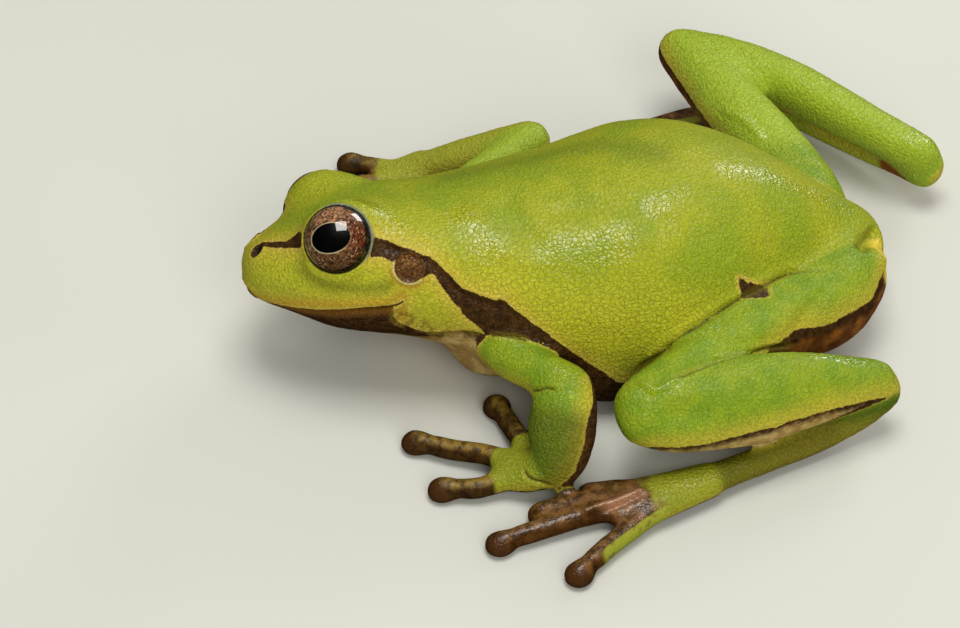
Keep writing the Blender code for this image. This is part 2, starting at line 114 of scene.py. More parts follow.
def gap_between(points, others):
    return np.sqrt(((points[:, None, :] - others[None, :, :]) ** 2).sum(2)).min(1)


def meeting(a, b, reach=0.75):
    """The middle of the stretch of node a that faces node b."""
    pa = node_points(a)
    gap = gap_between(pa, node_points(b))
    return pa[gap < max(reach, gap.min() + 0.2)].mean(0)


# -------- landmarks
eye = {s: box_centre(n) for n, s in EYES.items()}
between_eyes = (eye[1.0] + eye[-1.0]) / 2
HEAD_LEFT = unit(eye[1.0] - eye[-1.0])
HEAD_FRONT = unit(np.array((0, -1.0, 0)) - HEAD_LEFT * -HEAD_LEFT[1])
HEAD_UP = np.cross(HEAD_FRONT, HEAD_LEFT)
HEAD_ROLL = math.degrees(math.asin(HEAD_LEFT[2]))

# The body's axis: how far behind the snout, its height, and the share of the head's roll there.
BODY_AXIS = np.array((
    (0, 8, 1), (5.4, 8.5, 1), (8, 8.6, 1), (10.2, 8.5, 0.96), (13, 8.3, 0.88), (16.5, 8, 0.73),
    (20.5, 7.6, 0.5), (24.5, 7.2, 0.27), (28, 6.9, 0.12), (31.5, 6.5, 0), (35, 6, 0), (38.5, 5.2, 0),
    (42, 4.3, 0),
))
AXIS_BACK, AXIS_HEIGHT, AXIS_SHARE = BODY_AXIS.T
EYE_BACK, EYE_UP = 5.7, 1.2
AXIS_X = between_eyes[0] + EYE_UP * math.sin(math.radians(HEAD_ROLL))
SNOUT_Y = between_eyes[1] - EYE_BACK
HEAD_TURN = HEAD_LEFT[1] / HEAD_LEFT[0]


def body_space(points):
    """Points as (back from the snout, left, up) in the body's own rolled frame."""
    x, z = points[:, 0] - AXIS_X, points[:, 2]
    back, left = points[:, 1] - SNOUT_Y, np.zeros(len(points))
    for _ in range(3):
        share = np.interp(back, AXIS_BACK, AXIS_SHARE)
        back = points[:, 1] - SNOUT_Y - HEAD_TURN * left * share
        roll = np.radians(HEAD_ROLL * np.interp(back, AXIS_BACK, AXIS_SHARE))
        rise = z - np.interp(back, AXIS_BACK, AXIS_HEIGHT)
        left = x * np.cos(roll) + rise * np.sin(roll)
        up = -x * np.sin(roll) + rise * np.cos(roll)
    return np.stack((back, left, up), 1)


def body_place(back, left, up):
    """The same frame the other way round."""
    share = np.interp(back, AXIS_BACK, AXIS_SHARE)
    roll = math.radians(HEAD_ROLL * share)
    height = np.interp(back, AXIS_BACK, AXIS_HEIGHT)
    x = AXIS_X + left * math.cos(roll) - up * math.sin(roll)
    z = height + left * math.sin(roll) + up * math.cos(roll)
    return np.array((x, SNOUT_Y + back + HEAD_TURN * left * share, z))


GAZE_SIDE, GAZE_FRONT, GAZE_UP = 0.853, 0.33, 0.38
BALL_SINK, BALL_BACK = 0.25, 0.1


def gaze(side):
    """Where an eye looks: to the side, somewhat forward and up."""
    return unit(HEAD_LEFT * side * GAZE_SIDE + HEAD_FRONT * GAZE_FRONT + HEAD_UP * GAZE_UP)


# The eyeballs that show: a little larger than the solids' and set deeper, so that the lids close round them.
ball_centre = {s: eye[s] - BALL_SINK * gaze(s) - BALL_BACK * HEAD_FRONT for s in eye}


# -------- camera
CAMERA_AZIMUTH = math.radians(82.0)
CAMERA_HEIGHT = math.radians(43.0)
CAMERA_DISTANCE = 260.0
CAMERA_LENS = 149.2
AIM = Vector((AXIS_X, SNOUT_Y + 20.8, 0.0))
AIM_RIGHT = -5.36
AIM_UP = 0.131


def make_camera():
    ca, sa = math.cos(CAMERA_AZIMUTH), math.sin(CAMERA_AZIMUTH)
    ce, se = math.cos(CAMERA_HEIGHT), math.sin(CAMERA_HEIGHT)
    back = Vector((sa * ce, -ca * ce, se))
    right = Vector((ca, sa, 0))
    up = back.cross(right)
    place = AIM + back * CAMERA_DISTANCE + right * AIM_RIGHT + up * AIM_UP
    data = bpy.data.cameras.new("camera")
    data.lens = CAMERA_LENS
    data.sensor_width = 36
    data.clip_start = 0.01
    data.clip_end = 10
    camera = add("camera", data)
    turn = Matrix((right, up, back)).transposed().to_4x4()
    camera.matrix_world = Matrix.Translation(place * MM) @ turn
    scene.camera = camera


make_camera()


# -------- skin mesh
def new_object(name, points, faces):
    mesh = bpy.data.meshes.new(name)
    mesh.from_pydata([tuple(p) for p in points], [], faces)
    mesh.update()
    return add(name, mesh)


def add_plug(bm, side):
    """Fills an eye's socket up to a flat cap, so that the lids can be drawn round the eyeball."""
    outward = Vector(HEAD_LEFT * side)
    centre = Vector(eye[side]) * MM
    made = bmesh.ops.create_icosphere(bm, subdivisions=4, radius=SOCKET_PLUG * MM)
    for v in made["verts"]:
        over = v.co.dot(outward) - SOCKET_PLUG_HEIGHT * MM
        if over > 0:
            v.co -= outward * over
        v.co += centre


def swell_of(name):
    """How far each point of a node moves out, so that neighbours fuse and the right calf and tarsus don't."""
    amount = np.full(len(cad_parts[name].data.vertices), SWELL)
    if name in KEPT_APART:
        other = KEPT_APART[name]
        points = node_points(name)
        gap = gap_between(points, node_points(other))
        heel = meeting(name, other)
        footward = unit(meeting("tarsus_right", "foot_right") - heel)
        amount[(gap < APART_GAP) & ((points - heel) @ footward > APART_FROM_HEEL)] = APART_SWELL
    return amount


def make_skin_object():
    bm = bmesh.new()
    swell = bm.verts.layers.float.new("swell")
    for name in FLESH:
        known = len(bm.verts)
        bm.from_mesh(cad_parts[name].data)
        bm.verts.ensure_lookup_table()
        for k, amount in enumerate(swell_of(name)):
            bm.verts[known + k][swell] = amount
    bmesh.ops.remove_doubles(bm, verts=bm.verts, dist=1e-6)
    bm.normal_update()
    moves = [v.normal * v[swell] * MM for v in bm.verts]
    for v, move in zip(bm.verts, moves):
        v.co += move
    for side in eye:
        add_plug(bm, side)
    mesh = bpy.data.meshes.new("skin")
    write_back(bm, mesh)
    obj = add("skin", mesh)
    fuse = obj.modifiers.new("fuse", "REMESH")
    fuse.mode = "VOXEL"
    fuse.voxel_size = VOXEL * MM
    fuse.adaptivity = 0
    depsgraph = bpy.context.evaluated_depsgraph_get()
    fused = bpy.data.meshes.new_from_object(obj.evaluated_get(depsgraph))
    obj.modifiers.clear()
    obj.data = fused
    fused.name = "skin"
    return obj


def write_back(bm, mesh):
    bm.to_mesh(mesh)
    bm.free()


def refine(obj, wanted):
    """Divides the faces of the wanted points once."""
    bm = bmesh.new()
    bm.from_mesh(obj.data)
    bm.verts.ensure_lookup_table()
    edges = [e for e in bm.edges if wanted[e.verts[0].index] and wanted[e.verts[1].index]]
    bmesh.ops.subdivide_edges(bm, edges=edges, cuts=1, use_grid_fill=True)
    odd = [f for f in bm.faces if len(f.verts) > 4]
    bmesh.ops.triangulate(bm, faces=odd)
    write_back(bm, obj.data)


class Surface:
    """The skin's points as one array in millimetres, with the steps that shape it."""

    def __init__(self, obj):
        self.obj = obj
        self.points = read(obj.data.vertices, "co") / MM
        self.ends = read(obj.data.edges, "vertices", 2, np.int64)
        self.degree = np.bincount(self.ends.ravel(), minlength=len(self.points)).astype(float)

    def by_point(self, first, second):
        """The mean, over each point's edges, of what they hold for that end."""
        (a, b), n = self.ends.T, len(self.points)
        return (np.bincount(a, first, n) + np.bincount(b, second, n)) / self.degree

    def mean(self, values):
        """For each point, the mean of its neighbours' values."""
        a, b = self.ends.T
        if values.ndim == 1:
            return self.by_point(values[b], values[a])
        return np.stack([self.mean(values[:, k]) for k in range(values.shape[1])], 1)

    def spread(self, values, rounds):
        for _ in range(rounds):
            values = (values + self.mean(values)) / 2
        return values

    def relax(self, rounds, weight):
        for _ in range(rounds):
            self.points += (self.mean(self.points) - self.points) * weight[:, None]

    def write(self):
        self.obj.data.vertices.foreach_set("co", (self.points * MM).ravel())
        self.obj.data.update()

    def normals(self):
        self.write()
        return read(self.obj.data.vertices, "normal")

    def push(self, amount):
        self.points += self.normals() * amount[:, None]

    def edge_length(self):
        a, b = self.ends.T
        length = np.linalg.norm(self.points[a] - self.points[b], axis=1)
        return self.by_point(length, length)

    def near(self, path, reach=1.6):
        """Distance to a path and how far along it, for the points that lie near it."""
        path = np.asarray(path, float)
        close = ((self.points > path.min(0) - reach) & (self.points < path.max(0) + reach)).all(1)
        d, t = np.full(len(self.points), FAR), np.zeros(len(self.points))
        d[close], t[close] = path_distance(self.points[close], path)
        return d, t

    def tree(self):
        self.write()
        bm = bmesh.new()
        bm.from_mesh(self.obj.data)
        tree = BVHTree.FromBMesh(bm)
        bm.free()
        return tree


def label_points(points):
    """The CAD node nearest each point, as an index into FLESH."""
    corners, faces, owner = [], [], []
    for k, name in enumerate(FLESH):
        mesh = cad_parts[name].data
        start = len(corners)
        corners += [v.co.copy() / MM for v in mesh.vertices]
        for p in mesh.polygons:
            faces.append([start + v for v in p.vertices])
            owner.append(k)
    tree = BVHTree.FromPolygons(corners, faces)
    return np.array([owner[tree.find_nearest(Vector(p))[2]] for p in points])


def path_distance(points, path):
    """Distance from each point to a line through the path's points, and how far along it (0 to 1)."""
    path = np.asarray(path, float)
    best = np.full(len(points), 1e9)
    along = np.zeros(len(points))
    lengths = np.linalg.norm(np.diff(path, axis=0), axis=1)
    total, run = lengths.sum(), 0.0
    for a, b, length in zip(path[:-1], path[1:], lengths):
        t = np.clip(((points - a) @ (b - a)) / length**2, 0, 1)
        d = np.linalg.norm(points - (a + t[:, None] * (b - a)), axis=1)
        closer = d < best
        best[closer] = d[closer]
        along[closer] = ((run + t * length) / total)[closer]
        run += length
    return best, along


def inside(points, outline):
    """Even-odd test in the plane."""
    hit = np.zeros(len(points), bool)
    x, y = points[:, 0], points[:, 1]
    for (x0, y0), (x1, y1) in zip(outline, np.roll(outline, -1, axis=0)):
        crosses = (y0 > y) != (y1 > y)
        if y1 != y0:
            hit ^= crosses & (x < (x1 - x0) * (y - y0) / (y1 - y0) + x0)
    return hit


def outside_by(points, outline):
    """Signed distance to a closed outline in the plane: above 0 outside it, below 0 inside."""
    outline = np.asarray(outline, float)
    d, _ = path_distance(points, np.vstack((outline, outline[:1])))
    return np.where(inside(points, outline), -d, d)


def curve(keys, steps=6):
    """A smooth line through the keys."""
    keys = np.asarray(keys, float)
    ends = np.vstack((2 * keys[0] - keys[1], keys, 2 * keys[-1] - keys[-2]))
    out = []
    for a, b, c, d in zip(ends[:-3], ends[1:-2], ends[2:-1], ends[3:]):
        for k in range(steps):
            t = k / steps
            second = 2 * a - 5 * b + 4 * c - d
            third = 3 * b - a - 3 * c + d
            out.append(0.5 * (2 * b + (c - a) * t + second * t**2 + third * t**3))
    out.append(keys[-1])
    return np.array(out)


# -------- build the skin
# The head is divided more finely: how far back, to each side and down.
FINE_BACK, FINE_SIDE, FINE_LOW = 13.5, 8, -6.5
FINE_EDGE = 0.115  # faces with shorter edges than this are the fine ones
# Rounds of softening, of the whole skin and then of its fine part: before and after its valleys are measured.
FIRST_ROUNDS, FIRST_FINE_ROUNDS = 6, 18
LATER_ROUNDS, LATER_FINE_ROUNDS = 28, 50
SOFTENING = 0.5
DIGITS_SPARED = 0.42
VALLEY_START = 0.05
VALLEY_DEEPENING = 1.9
DIGIT_FILL = 0.07

skin_object = make_skin_object()
skin = Surface(skin_object)
spot = body_space(skin.points)
refine(skin_object, (spot[:, 0] < FINE_BACK) & (abs(spot[:, 1]) < FINE_SIDE) & (spot[:, 2] > FINE_LOW))
skin = Surface(skin_object)
labels = label_points(skin.points)


def on(*names):
    return np.isin(labels, [FLESH.index(n) for n in names])


def everywhere(value):
    return np.full(len(skin.points), value)


def nearer(values, place, radius=0):
    """The values, or the distance to a ball round the place where that is less."""
    return np.minimum(values, np.linalg.norm(skin.points - place, axis=1) - radius)


def patch(chosen, rounds):
    """1 on the chosen points, with an edge that is softened in that many rounds."""
    return skin.spread(chosen.astype(float), rounds)


both = ("_left", "_right")
hands = on(*["hand" + s for s in both])
feet = on(*["foot" + s for s in both])
digits = np.clip(patch(hands | feet, 8), 0, 1)
refined = patch(skin.edge_length() < FINE_EDGE, 4)
skin.relax(FIRST_ROUNDS, everywhere(SOFTENING))
skin.relax(FIRST_FINE_ROUNDS, SOFTENING * refined)
sharp = skin.points.copy()
soft = SOFTENING - DIGITS_SPARED * digits
skin.relax(LATER_ROUNDS, soft)
skin.relax(LATER_FINE_ROUNDS, soft * refined)
valley = ((sharp - skin.points) * skin.normals()).sum(1)
valley = skin.spread(np.minimum(valley + VALLEY_START, 0), 3)
skin.push(-SWELL + DIGIT_FILL * digits + VALLEY_DEEPENING * valley)


# -------- eyelids
# Angles are in degrees from the gaze. The lids stand LID_RIM out of the eyeball and are tucked in within it.
LID_ANGLE = 65.0
LID_RIM, LID_TUCK = 0.15, 0.35
LID_REACH = 4.6
# Below the eye the lid swells and is then marked off by a furrow: how far out from the lid's edge, how much.
BAG_AT, BAG_HEIGHT, BAG_WIDTH = 11, 0.26, 6.0
FURROW_AT, FURROW_DEPTH, FURROW_WIDTH = 23, 0.22, 4.0
lid_by = everywhere(FAR)
lid_pale = everywhere(0.0)
lid_fold = everywhere(0.0)
for side in eye:
    look = gaze(side)
    rel = skin.points - ball_centre[side]
    r = np.maximum(np.linalg.norm(rel, axis=1), 1e-6)
    angle = np.degrees(np.arccos(np.clip(rel @ look / r, -1, 1)))
    down = -(rel @ HEAD_UP) / r
    close = r < LID_REACH
    hidden = BALL_RADIUS - LID_TUCK
    rim = BALL_RADIUS + LID_RIM
    lid = hidden + (rim - hidden) * smooth(angle, LID_ANGLE - 5, LID_ANGLE + 3)
    keep = smooth(angle, LID_ANGLE + 3, LID_ANGLE + 22)
    target = lid * (1 - keep) + np.maximum(r, rim) * keep
    below = smooth(down, 0.2, 0.55)
    bag = BAG_HEIGHT * bell(angle - LID_ANGLE - BAG_AT, BAG_WIDTH)
    target += below * (bag - FURROW_DEPTH * bell(angle - LID_ANGLE - FURROW_AT, FURROW_WIDTH))
    new = ball_centre[side] + rel * (target / r)[:, None]
    skin.points[close] = new[close]
    lid_by[close] = (np.radians(angle - LID_ANGLE) * BALL_RADIUS)[close]
    behind = (rel @ (0.55 * HEAD_UP - 0.85 * HEAD_FRONT)) / r
    lid_pale[close] = smooth(behind, 0, 0.45)[close]
    # Painted shade along the furrow below the eye.
    lid_fold[close] = (below * bell(angle - LID_ANGLE - FURROW_AT, 3))[close]

# -------- folds, mouth, ears and nostrils
# Lines in the body's frame: three numbers are (back, left, up), two are (back, up) as seen from the side.
# Most points were picked on the photograph and cast onto the model by another script, and many were then
# moved by hand.
MOUTH = (
    (0.02, 0, -2.05), (0.3, 0.75, -2.25), (0.62, 1.1, -2.6), (1.15, 1.6, -2.85), (2.58, 2.9, -2.95),
    (4.32, 4.1, -3.02), (5.46, 4.8, -3.02), (6.64, 5.4, -2.98), (7.52, 5.78, -2.99), (8.31, 6.05, -2.91),
    (8.8, 6.2, -2.74), (9.15, 6.43, -2.45),
)
STRIPE_TOP = (
    (7.45, 1.62), (8.46, 1.28), (9.33, 0.97), (10.21, 0.72), (11.04, 0.49), (11.65, -0.05),
    (12.49, -0.91), (12.95, -1.33), (13.68, -1.52), (14.35, -1.66), (14.95, -1.72), (15.34, -1.45),
    (15.62, -1.85), (16.1, -2.15), (17, -2.75), (17.94, -3.25), (18.87, -3.8), (19.85, -4.45),
    (20.8, -4.95), (21.5, -5.25), (22.75, -5.85), (24, -5.6), (26, -3.4), (28, -1.9), (29.6, -0.7),
    (33.6, 0), (36, -0.1), (39, -0.6),
)
# The dark spot in the groin, and the lower edges of the green on the left shank and thigh.
GROIN_SPOT = ((30.75, 1.95), (31.35, 1.6), (32.1, 1.28), (32.95, 0.98), (31.9, 0.85), (30.9, 0.66))
SHANK_EDGE = (
    (20, -9), (22.2, -6.6), (23.5, -5.3), (24.5, -4.8), (26.5, -4.1), (27.8, -3.45), (29.1, -2.85),
    (30.4, -2.3), (32.5, -1.75), (34.5, -1.6), (36.6, -1.45), (38.7, -1.2), (42, -1.2),
)
THIGH_EDGE = (
    (30, -1.6), (32.3, -0.6), (33.3, -0.3), (34.1, -0.2), (36.2, -0.3), (37.1, -0.05), (38, 0.15),
    (39.8, 0.25), (40.5, 0.75), (42, 1),
)
STRIPE_LOW = (
    (7.45, 0.31), (8.31, 0.19), (8.83, 0), (9.12, -0.92), (9.6, -1.05), (10.1, -0.98), (11.1, -0.55),
    (11.54, -1.23), (12.16, -2.17), (13.11, -3.32), (14.28, -4.3),
)
JAW_TO_ARM = (
    (9.14, -2.45), (8.6, -3), (8.55, -3.62), (8.92, -4.09), (9.67, -4.47), (10.3, -4.75), (11.49, -4.65),
    (12.4, -4.45), (13.31, -4.25), (14.28, -4.3),
)
BEHIND_ARM = ((16, -4.9), (18, -5.8), (20, -6.6), (24, -6.8), (30, -4.5), (44.5, -2.4))
# The line from the nostril to the eye, with its half width.
FRONT_LINE = (
    (0.95, 1.25, 0.6, 0.24), (1.32, 1.12, 0.73, 0.26), (1.71, 1.55, 0.83, 0.22), (2.2, 2.12, 0.87, 0.27),
    (2.77, 2.66, 0.88, 0.24), (3.17, 2.84, 0.97, 0.36), (3.6, 3.1, 1.12, 0.58), (4, 3.5, 1.15, 0.5),
)
NOSTRIL = (0.91, 1.26, 0.53)
EAR = (9.7, 6.6, -0.26)
EAR_RADIUS = 0.98
# Heights above the skin and widths, in millimetres.
MOUTH_DEPTH, MOUTH_WIDTH = 0.24, 0.11
LIP_HEIGHT, LIP_OUT, LIP_WIDTH = 0.13, 0.38, 0.3
BROW_HEIGHT, BROW_WIDTH = 0.1, 0.28
UNDER_BROW, UNDER_BROW_DEPTH, UNDER_BROW_WIDTH = 0.4, 0.12, 0.3
EAR_RIM_HEIGHT, EAR_RIM_WIDTH, EAR_SINK = 0.11, 0.12, 0.1
NOSTRIL_RIM, NOSTRIL_RIM_HEIGHT, NOSTRIL_DEPTH = 0.62, 0.09, 0.5
DISC_HEIGHT, DISC_WIDTH = 0.1, 0.8
NECK_OUT, NECK_DEPTH, NECK_WIDTH = 1.55, 0.05, 0.35  # round the disc of a digit
# The dark line along a fold is painted shade.
SOFT_FOLD_OFF = 0.1  # keeps a soft fold's dark line away

# Creases of the skin: how deep, how wide, and the line that each follows. Shade is painted along each line,
# except on the soft folds.
FOLDS = {
    "groin": (0.26, 0.14, (
        (22.9, 9, -5.6), (23.51, 9.15, -4.88), (24.52, 9.46, -3.58), (25.52, 9.73, -2.4),
        (26.8, 9.6, -1.2), (27.95, 9.25, -0.54), (29.37, 8.58, 0.13), (30.87, 7.49, 0.69),
        (32.32, 6.67, 0.88), (34.09, 5.84, 1.18), (35.74, 5.7, 1.32), (37.04, 5.7, 1.54),
        (37.86, 5.55, 1.57),
    )),
    "knee": (0.24, 0.12, (
        (24.7, 14.4, -1.65), (25.11, 14.32, -1.49), (26.35, 14.01, -0.98), (27.78, 13.38, -0.45),
        (29, 13, 0), (29.89, 12.51, 0.16), (31.57, 10.87, -0.59), (33, 10.2, -0.85), (34.6, 9.9, -1.2),
    )),
    "elbow": (0.2, 0.11, (
        (16.41, 10.33, -6.6), (16.78, 11.27, -6.04), (17.22, 11.46, -5.72), (17.9, 12.2, -5.38),
    )),
    "wrist": (0.2, 0.12, (
        (15.25, 12.59, -10.99), (15.5, 13.26, -11.34), (16.2, 13.74, -11.23), (16.7, 13.93, -11.27),
        (17.2, 14.16, -11.27),
    )),
    "shoulder": (0.14, 0.1, (
        (14.31, 7.18, -4.45), (15.13, 7.4, -4.12), (16.02, 7.75, -4.05), (16.9, 8.2, -4.05),
    )),
    "jaw": (0.14, 0.12, (
        (8.75, 6.1, -2.95), (8.5, 5.8, -3.67), (8.76, 5.6, -4.14), (9.39, 5.4, -4.54),
    )),
    "chest": (0.1, 0.12, (
        (10.33, 5.22, -4.84), (11.53, 5.74, -4.73), (13.31, 6.71, -4.29), (14.32, 7.14, -4.39),
    )),
    "foot": (0.16, 0.11, (
        (22.6, 17.3, -8.7), (21.9, 17.4, -9.25), (21, 17.38, -9.9), (19.6, 17.2, -10.85),
    )),
}
SOFT_FOLDS = ("jaw", "chest", "foot")  # without a dark line
THIGH_TOP = ((33.2, -10.8, 1), (34.5, -9.6, 1), (35.2, -8, 0.9))
# Soft hollows and ridges: how far out they stand, how wide, and where. Only the shape changes.
FORMS = (
    (-0.16, 0.55, ((36.84, 6.59, 1.72), (36.14, 7.61, 1.12), (35.03, 8.72, 0.56), (34.06, 9.54, -0.07))),
    (-0.3, 0.75, ((24.9, 16.1, -2.75), (26.6, 16.35, -2.1))),
    (-0.75, 0.4, ((41.1, 0.75, 0.9), (40.34, 2.09, 1.36), (39.6, 3.4, 1.75))),
    (0.28, 0.5, ((41, 2.6, 0.5), (40.5, 3.8, 0.9))),
    (-0.22, 0.8, ((17.6, 6.3, 2.2), (16.9, 5, 3), (16.6, 3.6, 3.6))),
    (0.12, 0.6, ((14, 4.6, 2.6), (15.2, 5.5, 2.2), (15.6, 6.6, 1.2))),
    (-0.16, 0.7, ((19.5, 4.6, 3.7), (24, 4.6, 4.6), (26, 5.6, 4.4))),
    (0.22, 0.24, ((23.1, 14.2, -2.3), (23.9, 14.9, -2.2), (25.3, 14.5, -1.45))),
    (0.12, 0.32, ((24.6, 9.9, -3.1), (26, 10.2, -1.9), (27.6, 10.3, -0.7), (28.8, 9.9, -0.1))),
    (0.14, 0.32, THIGH_TOP),
    (0.24, 0.26, ((22.4, 17.05, -8.65), (21.03, 17, -9.65), (19.68, 16.8, -10.6), (18.6, 16.7, -11.4))),
)
# Where the skin is wettest: how wide, and where.
WET = (
    (1.5, ((13.6, 4.6, 2.5), (15, 5.5, 2.1), (15, 6.3, 1.2))),
    (1.7, ((19.3, 6.9, 1.7), (21.2, 6.8, 2.1), (23, 6.6, 3))),
    (0.9, ((25.6, 4.6, 4.9), (27.6, 3.7, 5.5))),
    (0.8, ((30.6, 1.2, 5.8), (33.3, 0.8, 5.1), (36, 0.7, 3.9), (39.1, 0.2, 2.3))),
    (0.9, ((7.6, 3.6, 3.1), (9.4, 4.9, 2.2))),
    (0.6, ((24, 9.6, -4), (25.6, 10, -2.4), (27.6, 10.4, -0.6), (28.8, 9.9, -0.1))),
    (0.5, ((8.4, 6, -1.4), (10.2, 6.8, -1.7))),
    (0.5, ((23, 14, -2.4), (23.7, 14.9, -2.3), (25.3, 14.6, -1.5))),
    (0.8, ((18.6, 11, -4.2), (19.4, 11.8, -4.5))),
    (0.5, THIGH_TOP),
    (0.5, ((34.5, 12.6, 0.45), (37.5, 12.8, 0.3))),
    (0.4, ((22.4, 17.05, -8.65), (21.03, 17, -9.65), (19.68, 16.8, -10.6))),
    (0.7, ((45.5, -8.4, 1.1), (46.8, -7.9, 0.6))),
    (0.5, ((27.5, 17.2, -6.4), (25.5, 17.4, -7.2))),
)
# Soft marks, each a field of that name: how wide, and where. The first and the fourth are painted shade, and
# the fifth is the foot's copper and in part a painted highlight.
MARKS = {
    # Painted shadow: a darker green band along the back, beside the spine.
    "shade": (1.3, ((14, -1.2, 3.6), (18, -1.6, 4.1), (23, -1.4, 5.4), (26.5, 0.2, 6.2))),
    "vent": (0.85, ((41.1, 1.5, 0.45), (40.85, 3, 0.9), (41.05, 3.9, 0.35))),
    "flush": (0.9, ((44.4, -9.6, -2.6), (46.2, -8.2, -2.4), (47.4, -7.7, -2.2))),
    "vent_shade": (0.42, ((41.05, 0.9, 1), (40.34, 2.09, 1.36), (39.6, 3.2, 1.75))),
    # The foot's copper along its ridge, in part a painted highlight.
    "copper": (0.5, ((22, 17, -8.95), (21.03, 17.1, -9.7), (20.2, 17, -10.3))),
    "flecks": (1, ((9.2, 5.6, -3.5), (10.4, 5.6, -4.2), (12, 6, -4.2))),
}

tree = skin.tree()


def on_skin(back, left, up):
    """The skin's point nearest one given in the body's frame."""
    hit = tree.find_nearest(Vector(body_place(back, left, up)) * MM)
    return np.array(hit[0]) / MM


def flank_point(side, back, up):
    """The skin's point at that distance back and height up, found from the side."""
    start = body_place(back, 14 * side, up)
    end = body_place(back, 0, up)
    hit = tree.ray_cast(Vector(start) * MM, Vector(unit(end - start)), 14 * MM)
    return np.array(hit[0]) / MM if hit[0] else body_place(back, 5 * side, up)


def brush(line, width):
    """1 on a line over the skin, falling to 0 away from it."""
    d, _ = skin.near([on_skin(*p) for p in curve(line, 3)], 2.5 * width)
    return bell(d, width)


def settle(line, reach=0.5):
    """Moves a line's points to the bottom of the skin's own valley, where there is one."""
    out = []
    for p in line:
        close = (abs(skin.points - p) < reach).all(1)
        away = np.linalg.norm(skin.points[close] - p, axis=1)
        weight = np.maximum(-valley[close] - 0.01, 0) * bell(away, 0.7 * reach)
        if weight.sum() > 0.05:
            p = 0.2 * p + 0.8 * (skin.points[close] * weight[:, None]).sum(0) / weight.sum()
        out.append(p)
    out = np.array(out)
    for _ in range(2):
        out[1:-1] = (out[:-2] + 2 * out[1:-1] + out[2:]) / 4
    return out


def digit_tips(name, start):
    """The middle of each disc of a hand or foot: what lies farthest out along each digit."""
    points = node_points(name)
    out = np.linalg.norm(points - start, axis=1)
    tips = []
    for p, far in zip(points, out):
        apart = np.linalg.norm(points - p, axis=1)
        if far > 3 and far >= out[apart < 1.7].max():
            tips.append(points[apart < 1.4].mean(0))
    return tips


change = everywhere(0.0)
bodily = patch(on("head", "trunk"), 3)
spot = body_space(skin.points)
mouth_back, mouth_left, mouth_up = zip(*MOUTH)
lip_height = np.interp(spot[:, 0], mouth_back, mouth_up)
groove, ear, nostril = everywhere(FAR), everywhere(FAR), everywhere(FAR)
for side in eye:
    above_lip = (spot[:, 1] * side > 0) & (spot[:, 2] > lip_height)
    d, t = skin.near([on_skin(back, left * side, up) for back, left, up in curve(MOUTH, 3)])
    groove = np.minimum(groove, d)
    change -= MOUTH_DEPTH * bell(d, MOUTH_WIDTH) * smooth(t, 1, 0.93)
    lip = np.where(above_lip, LIP_HEIGHT * bell(d - LIP_OUT, LIP_WIDTH), 0)
    change += lip * smooth(t, 1, 0.85)
    d, t = skin.near([flank_point(side, back, up) for back, up in STRIPE_TOP[:16]])
    change += BROW_HEIGHT * bell(d, BROW_WIDTH) * bodily * smooth(t, 1, 0.8)
    d, t = skin.near([flank_point(side, back, up - UNDER_BROW) for back, up in STRIPE_TOP[1:16]])
    change -= UNDER_BROW_DEPTH * bell(d, UNDER_BROW_WIDTH) * bodily * smooth(t, 1, 0.7)
    ear = nearer(ear, flank_point(side, EAR[0], EAR[2]))
    nostril = nearer(nostril, on_skin(NOSTRIL[0], NOSTRIL[1] * side, NOSTRIL[2]))
ear_sink = EAR_SINK * smooth(ear, EAR_RADIUS, EAR_RADIUS - 0.25)
change += EAR_RIM_HEIGHT * bell(ear - EAR_RADIUS, EAR_RIM_WIDTH) - ear_sink
nostril_hole = NOSTRIL_DEPTH * smooth(nostril, 0.5, 0.16)
change += NOSTRIL_RIM_HEIGHT * bell(nostril - NOSTRIL_RIM, 0.16) - nostril_hole
# How far each point lies from a fold's line, along which shade is painted.
fold = everywhere(FAR)
for name, (depth, width, line) in FOLDS.items():
    d, t = skin.near(settle([on_skin(*p) for p in curve(line, 4)]))
    ends = smooth(t, 0, 0.1) * smooth(t, 1, 0.85)
    change += ends * (0.25 * depth * bell(d - 2.4 * width, 1.4 * width) - depth * bell(d, width))
    fold = np.minimum(fold, d + 0.3 * (1 - ends) + (SOFT_FOLD_OFF if name in SOFT_FOLDS else 0))
for height, width, line in FORMS:
    change += height * brush(line, width)
tip = everywhere(FAR)
for end, before in (("hand", "forearm"), ("foot", "tarsus")):
    for s in both:
        for middle in digit_tips(end + s, meeting(end + s, before + s)):
            tip = nearer(tip, middle)
change += DISC_HEIGHT * bell(tip, DISC_WIDTH) - NECK_DEPTH * bell(tip - NECK_OUT, NECK_WIDTH)
skin.push(change)

# -------- markings, as fields over the skin
place = body_space(skin.points)
flat = np.stack((place[:, 0], place[:, 2]), 1)
# Where the stripe and the underside are closed: behind the vent, below the belly and in front of the snout.
END_BACK, END_LOW = 44.5, -14
stripe_end = ((END_BACK, -1.8), (END_BACK, END_LOW), (14.28, END_LOW))
under_end = ((END_BACK, END_LOW), (-3, END_LOW), (-1.5, -3.0))
stripe_outline = np.vstack((STRIPE_TOP, stripe_end, STRIPE_LOW[::-1]))
under_outline = np.vstack((np.stack((mouth_back, mouth_up), 1), JAW_TO_ARM, BEHIND_ARM, under_end))

lip_d = outside_by(flat, under_outline)
at_tip = smooth(place[:, 0], 3.2, 1.8)
over_lip = place[:, 2] - np.interp(abs(place[:, 1]), mouth_left, mouth_up)
lip_d = lip_d * (1 - at_tip) + over_lip * at_tip
green_body = np.minimum(outside_by(flat, stripe_outline), lip_d)
steps = np.linspace(0, 1, len(FRONT_LINE))
half_widths = [p[3] for p in FRONT_LINE]
for side in eye:
    d, t = skin.near([on_skin(back, left * side, up) for back, left, up, _ in FRONT_LINE])
    green_body = np.minimum(green_body, d - np.interp(t, steps, half_widths))
